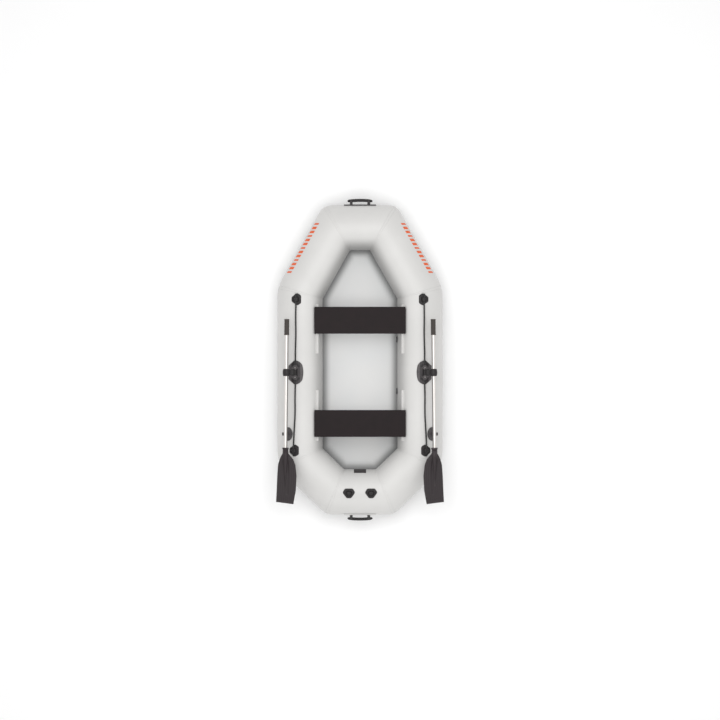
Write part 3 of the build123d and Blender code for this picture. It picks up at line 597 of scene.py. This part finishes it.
class BOAT_OT_chambers(bpy.types.Operator):
    """Build the fore and aft air chambers."""

    bl_idname = "boat.chambers"
    bl_label = "Air Chambers"

    def execute(self, context):
        look = context.scene.boat_hull
        fore = tube_chamber(look, "fore_air_chamber", True)
        aft = tube_chamber(look, "aft_air_chamber", False)
        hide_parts("bow_tube", "bow_quarter_tube_left", "bow_quarter_tube_right",
                    "fore_side_tube_left", "fore_side_tube_right", "chamber_bulkheads")
        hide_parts("stern_tube", "stern_quarter_tube_left", "stern_quarter_tube_right",
                    "aft_side_tube_left", "aft_side_tube_right")
        return {"FINISHED"}


# a seam tape's sections: steps from the corner's middle, and millimetres above the skin
TAPE_SECTIONS = [(-2, -0.6), (-2, 0.5), (-1, 0.6), (0, 0.6), (1, 0.6), (2, 0.5), (2, -0.6)]


class BOAT_OT_tapes(bpy.types.Operator):
    """Weld a tape over the joint at each corner of the ring."""

    bl_idname = "boat.tapes"
    bl_label = "Seam Tapes"

    def execute(self, context):
        look = context.scene.boat_hull
        for i in range(CORNERS):
            _, arc = corner_arcs(look, i, 2)
            run = 2 * (arc[1] - arc[0]).length
            middle = max(2, round(run / look.tape_width * 2))
            inner, outer = corner_arcs(look, i, 2 * middle)
            places = [
                tube_section(inner[middle + step], outer[middle + step], proud * MM)
                for step, proud in TAPE_SECTIONS
            ]
            piece = tube_skin(look, f"seam_tape_{i + 1}", places)
            if i == 0:
                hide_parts("seam_tapes")
        return {"FINISHED"}


# ---- floor ----
FLOOR_PITCH = 0.02
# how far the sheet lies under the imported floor's face, so that its ripples stay below it
FLOOR_DROP = 1.5 * MM
# the painted shade round the floor's rim fades out over this width
PAINTED_SHADE_RIM = 0.075


def floor_height(x, y):
    """A stretched floor is all but flat: it ripples a little all over."""
    ripple = 0.0012 * noise.noise(Vector((x * 5, y * 5, 0.3)))
    return ripple + 0.0005 * noise.noise(Vector((x * 17, y * 17, 4.0)))


def depth_inside(spot, corners):
    """How far a point is inside a closed plan outline."""
    depths = []
    for i, corner in enumerate(corners):
        way = (corner - corners[i - 1]).normalized()
        from_edge = spot - corner
        depths.append(from_edge.x * way.y - from_edge.y * way.x)
    return min(depths)


class BOAT_OT_floor(bpy.types.Operator):
    """Stretch the floor sheet between the tubes."""

    bl_idname = "boat.floor"
    bl_label = "Floor Sheet"

    def execute(self, context):
        level = floor_high.z
        reach = math.sqrt(TUBE_RADIUS**2 - (TUBE_RADIUS - level) ** 2)
        outline = inset(outer_corners(), TUBE_RADIUS + reach + 0.5 * MM)
        mesh_edit = bmesh.new()
        mesh_edit.faces.new([mesh_edit.verts.new((spot.x, spot.y, level)) for spot in outline])
        area = sum(face.calc_area() for face in mesh_edit.faces)
        for normal, low, high in (
            (Vector((1, 0, 0)), floor_low.x, floor_high.x),
            (Vector((0, 1, 0)), floor_low.y, floor_high.y),
        ):
            for step in range(1, int((high - low) / FLOOR_PITCH) + 1):
                geometry = mesh_edit.verts[:] + mesh_edit.edges[:] + mesh_edit.faces[:]
                cut = normal * (low + step * FLOOR_PITCH)
                bmesh.ops.bisect_plane(mesh_edit, geom=geometry, plane_co=cut, plane_no=normal)
        # painted shade round the floor's rim, darkest where it meets the tubes
        well = inset(outer_corners(), 2 * TUBE_RADIUS)
        painted_shade = mesh_edit.verts.layers.float.new("painted_shade")
        for vert in mesh_edit.verts:
            unshaded = smoothstep(depth_inside(vert.co.xy, well) / PAINTED_SHADE_RIM)
            vert[painted_shade] = (1 - unshaded) ** 1.4
            vert.co.z += floor_height(vert.co.x, vert.co.y) - FLOOR_DROP
        piece = finish_mesh(mesh_edit, "stretched_floor", "floor")
        if piece.data.polygons[0].normal.z < 0:
            piece.data.flip_normals()
        thicken(piece, 1.0 * MM)
        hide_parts("floor_sheet")
        return {"FINISHED"}


# ---- ropes ----
# the lifeline's route on the right side, in metres, from the fore knot to the aft knot
ROPE_ROUTE = [
    (0.4952, 0.495, 0.3626), (0.4952, 0.430, 0.3626), (0.4976, 0.330, 0.3606),
    (0.4948, 0.200, 0.3598), (0.4996, 0.070, 0.3610), (0.4990, -0.015, 0.3619),
    (0.4990, -0.180, 0.3619), (0.5024, -0.285, 0.3604), (0.5008, -0.415, 0.3594),
    (0.5086, -0.550, 0.3589), (0.5139, -0.650, 0.3586), (0.5139, -0.730, 0.3586),
]
ROPE_SEGMENTS = 12
# the rope's map has one unit to a plait, and eight plaits go round it
PLAITS_ROUND = 8
# a stopper knot's middle is this far beyond the rope's end, and its loops are this size
KNOT_OFFSET = 9.0 * MM
KNOT_SIZE = 2.1 * MM
KNOT_STRAND = 2.9 * MM
KNOT_STEPS = 48


def rope_line(sign):
    """Points down the middle of a lifeline, read from its smooth spline."""
    curve = bpy.data.curves.new("lifeline_route", "CURVE")
    curve.dimensions = "3D"
    curve.resolution_u = 24
    spline = curve.splines.new("NURBS")
    spline.points.add(len(ROPE_ROUTE) - 1)
    for point, (x, y, z) in zip(spline.points, ROPE_ROUTE):
        point.co = (sign * x, y, z, 1.0)
    spline.order_u = 3
    spline.use_endpoint_u = True
    route = bpy.data.objects.new("lifeline_route", curve)
    mesh = bpy.data.meshes.new_from_object(route)
    line = [vert.co.copy() for vert in mesh.vertices]
    bpy.data.batch_remove((route, curve, mesh))
    return line


def sweep_matrices(line, radius):
    """Section placings along a line, without twist."""
    places = []
    for i, point in enumerate(line):
        ahead = (line[min(i + 1, len(line) - 1)] - line[max(i - 1, 0)]).normalized()
        across = UP.cross(ahead).normalized()
        places.append(section_matrix(point, across, ahead.cross(across), radius, radius))
    return places


def map_rope(mesh_edit, rings, line, diameter):
    """Unroll a rope's skin into its map: along it, then round it, in plaits."""
    marks = {vert: (i, k) for i, ring in enumerate(rings) for k, vert in enumerate(ring)}
    reach = [0.0]
    for near, far in zip(line, line[1:]):
        reach.append(reach[-1] + (far - near).length)
    uv = mesh_edit.loops.layers.uv.new("UVMap")
    half_way = ROPE_SEGMENTS / 2
    for face in mesh_edit.faces:
        around = [marks[loop.vert][1] for loop in face.loops]
        wraps = len(around) == 4 and max(around) - min(around) > half_way
        for loop in face.loops:
            i, k = marks[loop.vert]
            turned = k + ROPE_SEGMENTS if wraps and k < half_way else k
            along = reach[i] / (math.pi * diameter)
            loop[uv].uv = (PLAITS_ROUND * along, PLAITS_ROUND * turned / ROPE_SEGMENTS)


class BOAT_OT_lifelines(bpy.types.Operator):
    """Rig the two lifelines with their stopper knots."""

    bl_idname = "boat.lifelines"
    bl_label = "Lifelines"

    def execute(self, context):
        look = context.scene.boat_rope
        knots = stopper_knots()
        for side, sign in SIDES.items():
            line = rope_line(sign)
            mesh_edit = bmesh.new()
            places = sweep_matrices(line, look.diameter / 2)
            rings = ring_chain(mesh_edit, places, ROPE_SEGMENTS)
            map_rope(mesh_edit, rings, line, look.diameter)
            piece = finish_mesh(mesh_edit, f"lifeline_rope_{side}", "rope")
            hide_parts(f"lifeline_{side}")
        return {"FINISHED"}


def stopper_knots():
    """An overhand stopper knot at each end of each lifeline."""
    made = {side: [] for side in SIDES}
    for side, sign in SIDES.items():
        for end, index, way in (("fore", 0, 1), ("aft", -1, -1)):
            x, y, z = ROPE_ROUTE[index]
            centre = Vector((sign * x, y + way * KNOT_OFFSET, z))
            line = []
            for step in range(KNOT_STEPS + 1):
                turn = 2 * math.pi * step / KNOT_STEPS
                # a trefoil is the middle of an overhand knot
                spot = Vector((
                    math.sin(turn) + 2 * math.sin(2 * turn),
                    (math.cos(turn) - 2 * math.cos(2 * turn)) * 0.9,
                    -math.sin(3 * turn) * 1.1,
                ))
                line.append(centre + spot * KNOT_SIZE)
            mesh_edit = bmesh.new()
            ring_chain(mesh_edit, sweep_matrices(line, KNOT_STRAND), 8)
            uv = mesh_edit.loops.layers.uv.new("UVMap")
            for face in mesh_edit.faces:
                for loop in face.loops:
                    loop[uv].uv = loop.vert.co.xy / (3.0 * MM)
            name = f"stopper_knot_{end}_{side}"
            made[side].append(finish_mesh(mesh_edit, name, "rope"))
    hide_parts("lifeline_knots")
    return made


# ---- printed bars ----
# how far the row's middle lies forward of the quarter tube's, and the ink above the skin
ROW_FORWARD = 0.022
INK_PROUD = 0.7 * MM
INK_DEPTH = 0.9 * MM


class BOAT_OT_stripes(bpy.types.Operator):
    """Print the slanted bars on the outside of both bow quarters."""

    bl_idname = "boat.stripes"
    bl_label = "Bow Stripes"

    def execute(self, context):
        look = context.scene.boat_stripe
        bow_axis, side_axis = inset(outer_corners(), TUBE_RADIUS)[1:3]
        along = (side_axis - bow_axis).normalized()
        out = Vector((-along.y, along.x))
        middle = (bow_axis + side_axis) / 2 - along * ROW_FORWARD
        pitch = look.length / look.bars
        radius = TUBE_RADIUS + INK_PROUD
        for side, sign in SIDES.items():
            mesh_edit = bmesh.new()
            for bar in range(look.bars):
                grid = bmesh.ops.create_grid(mesh_edit, x_segments=2, y_segments=10, size=0.5)
                # every third bar is a narrow one
                width = pitch * (0.62 if bar % 3 else 0.42)
                start = -look.length / 2 + (bar + 0.5) * pitch
                for vert in grid["verts"]:
                    share = vert.co.y + 0.5
                    lean = look.low_angle + (look.high_angle - look.low_angle) * share
                    run = start + vert.co.x * width - look.slant * (share - 0.5)
                    spot = middle + along * run + out * radius * math.sin(lean)
                    height = TUBE_RADIUS + radius * math.cos(lean)
                    vert.co = Vector((sign * spot.x, spot.y, height))
            for face in mesh_edit.faces:
                face.normal_update()
                if face.normal.x * sign < 0:
                    face.normal_flip()
            piece = finish_mesh(mesh_edit, f"bow_bars_{side}", "ink",
                                recalculate=False)
            thicken(piece, INK_DEPTH)
        return {"FINISHED"}


# ---- rope eyes ----
# a rope eye's outline in millimetres: along the tube, then inboard
EYE_OUTLINE = [
    (30.5, 38.0), (-30.5, 38.0), (-49.5, 7.0), (-17.0, -37.5), (17.0, -37.5), (49.5, 7.0)
]
EYE_ROUNDING = 17.0
EYE_RINGS = 26
# how far each eye leans inboard from the tube's crest, in degrees
EYE_LEANS = {"fore": 9.2, "aft": 14.9, "stern": 2.9}


def eye_height(share):
    """Height of a rope eye above the tube, from its middle (0) to its rim (1), in millimetres."""
    boss = 20.0 * (1 - smoothstep((share - 0.26) / 0.34))
    flange = 4.0 + 1.6 * hump(share - 0.9, 0.06)
    edge = math.sqrt(max(0.0, 1 - (max(0.0, share - 0.9) / 0.1) ** 2))
    return boss + flange * edge + 0.3 + 1.5 * (1 - share**2) * (share < 0.3)


def eye_mesh():
    """A rounded shield with a domed boss in its middle, wrapped on a tube along x."""
    corners = [Vector(spot) for spot in EYE_OUTLINE]
    rim = []
    for i, corner in enumerate(corners):
        arc = fillet(corner, corners[i - 1], corners[(i + 1) % len(corners)], EYE_ROUNDING, 8)
        if rim:
            rim.append((rim[-1] + arc[0]) / 2)
        rim += arc
    rim.append((rim[-1] + rim[0]) / 2)
    mesh_edit = bmesh.new()
    heart = sum(rim, Vector((0, 0))) / len(rim)
    rings = []
    for step in range(1, EYE_RINGS + 1):
        share = step / EYE_RINGS
        ring = []
        for point in rim:
            along, inboard = (heart + (point - heart) * share) * MM
            rise = math.sqrt(TUBE_RADIUS**2 - inboard**2) + eye_height(share) * MM
            ring.append(mesh_edit.verts.new((along, inboard, rise)))
        rings.append(ring)
    for near, far in zip(rings, rings[1:]):
        for k in range(len(rim)):
            mesh_edit.faces.new((near[k - 1], near[k], far[k], far[k - 1]))
    for ring in (rings[0], rings[-1]):
        bmesh.ops.contextual_create(mesh_edit, geom=ring)
    return mesh_edit


class BOAT_OT_eyes(bpy.types.Operator):
    """Build the six rope eyes."""

    bl_idname = "boat.eyes"
    bl_label = "Rope Eyes"

    def execute(self, context):
        for end, lean in EYE_LEANS.items():
            centre = middle_of(f"{end}_rope_eye_right")
            if end == "stern":
                spot, along = Vector((centre.x, STERN_Y, TUBE_RADIUS)), Vector((1, 0, 0))
            else:
                spot, along = Vector((SIDE_X, centre.y, TUBE_RADIUS)), Vector((0, 1, 0))
            angle = math.radians(lean)
            out = UP * math.cos(angle) + along.cross(UP) * math.sin(angle)
            turned = Matrix((along, out.cross(along), out)).transposed().to_4x4()
            for side, sign in SIDES.items():
                place = Matrix.Diagonal((sign, 1, 1, 1)) @ Matrix.Translation(spot) @ turned
                piece = finish_mesh(eye_mesh(), f"{end}_eye_{side}", "fitting",
                                    place=place)
                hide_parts(f"{end}_rope_eye_{side}")
        return {"FINISHED"}


# ---- oars ----
# places along the oar are measured aft from its collar, in metres
BLADE_START = 0.5805
# stations aft of the blade's start: inboard reach, outboard reach
BLADE_PLAN = [
    (0.041, 0.020, 0.020),
    (0.065, 0.041, 0.034),
    (0.091, 0.062, 0.045),
    (0.134, 0.078, 0.0565),
    (0.216, 0.088, 0.0615),
    (0.330, 0.0835, 0.065),
    (0.420, 0.068, 0.0688),
    (0.436, 0.0655, 0.0688),
]
BLADE_SLANT = 0.016
BLADE_THICKNESS = 3.2 * MM
BLADE_RIBS = 9
RIB_HEIGHT = 1.1 * MM
LIP_HEIGHT = 1.4 * MM
GROOVE_DEPTH = 4.8 * MM
# the socket's outside in millimetres: aft of the blade's start, then its radius
SOCKET_PROFILE = [
    (0, 14.6), (0, 23.5), (1.5, 25), (10.5, 25), (12, 23.5), (12.5, 22), (22, 22), (22.5, 20.5),
    (25.5, 20.5), (26, 22), (60, 22), (90, 19.8), (120, 17), (180, 11.5), (240, 6.6),
    (300, 2.6), (302, 0),
]
GRIP_START = -0.4125
GRIP_RIBS = 20
# the grip in millimetres
GRIP_LENGTH = 124.0
GRIP_RADIUS = 20.0
# its ends, and a rib in shares of its pitch: along, then how far under the radius
GRIP_FORE = [(0, 20.0), (0, 4.0), (1, 1.5), (3, 0), (8, 0), (9, 1.8)]
GRIP_AFT = [(-9, 1.8), (-8, 0), (-2, 0), (0, 1.5), (0, 5.9)]
GRIP_RIB = [(0, 2.4), (0.25, 1.2), (0.7, 1.2), (0.95, 2.4)]
GRIP_SHOULDER = 11.0


def middle_of(node):
    """The middle of a CAD node's box."""
    low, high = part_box(node)
    return (low + high) / 2


def oar_matrix(side):
    """The oar's own frame: x runs aft along the shaft, y outboard, z up."""
    grip, collar = middle_of(f"oar_grip_{side}"), middle_of(f"oar_collar_{side}")
    collar.z = grip.z
    aft = (collar - grip).normalized()
    out = Vector((-aft.y, aft.x, 0)) * SIDES[side]
    return Matrix.Translation(collar) @ Matrix((aft, out, UP)).transposed().to_4x4()


def blade_reach(run):
    """The blade's reach inboard and outboard, on straight lines between its stations."""
    for before, after in zip(BLADE_PLAN, BLADE_PLAN[1:]):
        if run <= after[0]:
            share = min(max((run - before[0]) / (after[0] - before[0]), 0.0), 1.0)
            return [near + (far - near) * share for near, far in zip(before[1:], after[1:])]
    return BLADE_PLAN[-1][1:]


def blade_mesh():
    """A blade with a curved plan, lengthwise ribs, a raised lip and a groove."""
    mesh_edit = bmesh.new()
    bmesh.ops.create_grid(mesh_edit, x_segments=70, y_segments=56, size=0.5)
    root = BLADE_PLAN[0][0]
    for vert in mesh_edit.verts:
        length_share, share = vert.co.x + 0.5, vert.co.y + 0.5
        tip = BLADE_PLAN[-1][0] - BLADE_SLANT * share
        run = root + (tip - root) * length_share
        inner, outer = blade_reach(run)
        width = inner + outer
        y = -inner + width * share
        edge = min(share, 1 - share) * width
        ribs = RIB_HEIGHT * math.cos(2 * math.pi * (share - 0.56) * BLADE_RIBS)
        ribs *= min(1, edge / 0.012)
        ribs *= min(1, max(0, (run - 0.06) / 0.05)) * min(1, (tip - run) / 0.02 + 0.05)
        lip = LIP_HEIGHT * (hump(edge, 0.004) + hump(tip - run, 0.005))
        groove = 0.0
        if 0.10 < run < 0.36:
            groove = GROOVE_DEPTH * hump(y + 0.0235 - 0.04 * (run - 0.15), 0.0045)
        vert.co = Vector((BLADE_START + run, y, ribs + lip - groove))
    bmesh.ops.solidify(mesh_edit, geom=mesh_edit.faces[:], thickness=BLADE_THICKNESS)
    return mesh_edit


def spun(profile, segments):
    """Spin an open profile of (x, radius) points about the x axis."""
    mesh_edit = bmesh.new()
    verts = [mesh_edit.verts.new((x, 0.0, max(radius, 1e-5))) for x, radius in profile]
    edges = [mesh_edit.edges.new(pair) for pair in zip(verts, verts[1:])]
    bmesh.ops.spin(mesh_edit, geom=verts + edges, cent=(0, 0, 0), axis=(1, 0, 0),
                   angle=2 * math.pi, steps=segments, use_merge=True)
    bmesh.ops.remove_doubles(mesh_edit, verts=mesh_edit.verts[:], dist=2e-5)
    return mesh_edit


def oar_piece(mesh_edit, name, side, finish):
    """Put a mesh made in the oar's own frame on its oar."""
    place = oar_matrix(side)
    return finish_mesh(mesh_edit, f"{name}_{side}", finish, f"{side}_oar", place)


class BOAT_OT_blades(bpy.types.Operator):
    """Build the two oar blades with their sockets."""

    bl_idname = "boat.blades"
    bl_label = "Oar Blades"

    def execute(self, context):
        for side in SIDES:
            piece = oar_piece(blade_mesh(), "blade", side, "blade")
            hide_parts(f"oar_blade_{side}")
            profile = [(BLADE_START + x * MM, radius * MM) for x, radius in SOCKET_PROFILE]
            oar_piece(spun(profile, 40), "blade_socket", side, "blade")
        return {"FINISHED"}


class BOAT_OT_grips(bpy.types.Operator):
    """Build the ribbed hand grips of the oars."""

    bl_idname = "boat.grips"
    bl_label = "Oar Grips"

    def execute(self, context):
        pitch = (GRIP_LENGTH - 2 * GRIP_SHOULDER) / GRIP_RIBS
        profile = list(GRIP_FORE)
        for rib in range(GRIP_RIBS):
            left = GRIP_SHOULDER + rib * pitch
            profile += [(left + share * pitch, under) for share, under in GRIP_RIB]
        profile += [(GRIP_LENGTH + x, under) for x, under in GRIP_AFT]
        profile = [(GRIP_START + x * MM, (GRIP_RADIUS - under) * MM) for x, under in profile]
        for side in SIDES:
            piece = oar_piece(spun(profile, 36), "rubber_grip", side, "grip")
            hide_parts(f"oar_grip_{side}")
        return {"FINISHED"}


# ---- carrying handles ----
HANDLE_STEPS = 80
HANDLE_TAPER = 0.14
# the bar bows towards the tube by this much at its ends, and has ribs round its middle
HANDLE_BOW = 6 * MM
HANDLE_RIB = 0.6 * MM
RIB_PITCH = 7.5 * MM
RIBBED_HALF = 0.055


class BOAT_OT_handles(bpy.types.Operator):
    """Build the moulded bars of the bow and stern carrying handles."""

    bl_idname = "boat.handles"
    bl_label = "Carrying Handles"

    def execute(self, context):
        for end, way in (("bow", 1), ("stern", -1)):
            low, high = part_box(f"{end}_handle_grip")
            half, radius = (high.x - low.x) / 2, (high.y - low.y) / 2
            profile = []
            for step in range(HANDLE_STEPS + 1):
                x = half * math.sin(math.pi * (step / HANDLE_STEPS - 0.5))
                rounded = math.sqrt(max(0.0, 1 - (x / half) ** 16))
                taper = (1 - HANDLE_TAPER * (x / half) ** 4) * rounded
                rib = math.cos(2 * math.pi * x / RIB_PITCH) if abs(x) < RIBBED_HALF else 0.0
                profile.append((x, max(0.0, radius * taper + HANDLE_RIB * (rib - 1))))
            mesh_edit = spun(profile, 32)
            for vert in mesh_edit.verts:
                vert.co.y -= way * (HANDLE_BOW * (vert.co.x / half) ** 2 - HANDLE_RIB)
            piece = finish_mesh(mesh_edit, f"{end}_carrying_bar", "fitting",
                                place=Matrix.Translation((low + high) / 2))
            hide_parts(f"{end}_handle_grip")
        return {"FINISHED"}


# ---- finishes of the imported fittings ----
# a star stands for both sides
NODE_FINISHES = {
    "fitting": ["bow_handle_patch", "oar_holder_*"],
    "lock": ["oarlock_base_*", "oar_collar_*"],
    "arm": ["oarlock_arm_*"],
    "steel": ["oarlock_pin_*", "swivel_bolt_*", "valve_springs"],
    "shaft_*": ["oar_shaft_*"],
    "plywood": ["front_seat_board", "rear_seat_board"],
    "rail": ["front_seat_rails", "rear_seat_rails", "front_seat_sliders", "rear_seat_sliders"],
    "valve": ["valve_bodies", "valve_cap_fore", "valve_cap_aft", "valve_poppet_fore",
              "valve_poppet_aft"],
    "plate": ["data_plate"],
    "blade": ["blade_button_*"],
    "hull": ["floor_flange"],
    "patch": ["stern_handle_patch"],
}


class BOAT_OT_fittings(bpy.types.Operator):
    """Give every moulded, turned and drawn fitting its own finish."""

    bl_idname = "boat.fittings"
    bl_label = "Fittings"

    def execute(self, context):
        for side in SIDES:
            for finish, nodes in NODE_FINISHES.items():
                for node in nodes:
                    materials = frame["nodes"][node.replace("*", side)].data.materials
                    materials.clear()
                    materials.append(finish_of(finish.replace("*", side)))
        return {"FINISHED"}


# ---- stage ----
# each softbox: its name, its place, its width and its share of the key light's power
SOFTBOXES = [
    ("overhead_softbox", (0.0, 0.4, 4.2), 3.4, 1.0),
    ("stern_softbox", (0.0, -4.5, 3.0), 2.5, 0.3),
]
SKY_STRENGTH = 0.92
GROUND_SIZE = 30.0
CAMERA_Y = -2.3 * MM


class BOAT_OT_stage(bpy.types.Operator):
    """Set the pale floor, the soft lights and the overhead camera."""

    bl_idname = "boat.stage"
    bl_label = "Stage"

    def execute(self, context):
        look = context.scene.boat_stage
        scene = context.scene
        material, add, place = new_material("painted_studio_floor", Roughness=0.9)
        patchy = add("TexNoise", {"Vector": place, "Scale": 1 / 1.5})
        paints = [(*[dimming * value for value in look.ground], 1.0) for dimming in (0.985, 1.0)]
        dress(material, add("ValToRGB", {"Fac": patchy}, stops=zip((0.3, 0.7), paints)))
        mesh_edit = bmesh.new()
        bmesh.ops.create_grid(mesh_edit, x_segments=1, y_segments=1, size=GROUND_SIZE)
        mesh_object(mesh_edit, "studio_floor", material)
        scene.world = bpy.data.worlds.new("studio")
        scene.world.use_nodes = True
        background = scene.world.node_tree.nodes["Background"]
        background.inputs["Color"].default_value = (1.0, 1.0, 1.0, 1.0)
        background.inputs["Strength"].default_value = SKY_STRENGTH
        for name, spot, size, share in SOFTBOXES:
            light = bpy.data.lights.new(name, "AREA")
            light.shape = "DISK"
            light.size = size
            light.energy = look.key * share
            lamp = new_object(name, light)
            lamp.location = spot
            aim = Vector((0, 0, 0.2)) - Vector(spot)
            lamp.rotation_euler = aim.to_track_quat("-Z", "Y").to_euler()
        data = bpy.data.cameras.new("overhead_camera")
        data.lens = look.lens
        data.clip_end = 100.0
        rise = look.view_width * look.lens / data.sensor_width
        scene.camera = new_object("overhead_camera", data)
        scene.camera.location = (0.0, CAMERA_Y, TUBE_RADIUS + rise)
        scene.view_settings.view_transform = "Standard"
        return {"FINISHED"}


OPERATORS = [
    BOAT_OT_stage, BOAT_OT_lifelines, BOAT_OT_chambers, BOAT_OT_tapes, BOAT_OT_floor,
    BOAT_OT_stripes, BOAT_OT_eyes, BOAT_OT_blades, BOAT_OT_grips, BOAT_OT_handles,
    BOAT_OT_fittings,
]
SETTINGS = {
    "boat_hull": HullLook, "boat_stripe": StripeLook, "boat_rope": RopeLook,
    "boat_stage": StageLook,
}


class BOAT_PT_panel(bpy.types.Panel):
    """Lists the boat's pieces and their settings."""

    bl_idname = "BOAT_PT_panel"
    bl_label = "Rowing Boat"
    bl_space_type = "VIEW_3D"
    bl_region_type = "UI"
    bl_category = "Rowing Boat"

    def draw(self, context):
        for name, group in SETTINGS.items():
            box = self.layout.box()
            for key in group.__annotations__:
                box.prop(getattr(context.scene, name), key)
        for operator in OPERATORS:
            self.layout.operator(operator.bl_idname)


def register():
    for group in SETTINGS.values():
        bpy.utils.register_class(group)
    for name, group in SETTINGS.items():
        setattr(bpy.types.Scene, name, PointerProperty(type=group))
    for operator in OPERATORS:
        bpy.utils.register_class(operator)
    bpy.utils.register_class(BOAT_PT_panel)


def unregister():
    bpy.utils.unregister_class(BOAT_PT_panel)
    for operator in reversed(OPERATORS):
        bpy.utils.unregister_class(operator)
    for name in SETTINGS:
        delattr(bpy.types.Scene, name)
    for group in SETTINGS.values():
        bpy.utils.unregister_class(group)


def main():
    register()
    for operator in OPERATORS:
        group, name = operator.bl_idname.split(".")
        getattr(getattr(bpy.ops, group), name)()


if __name__ == "__main__":
    main()
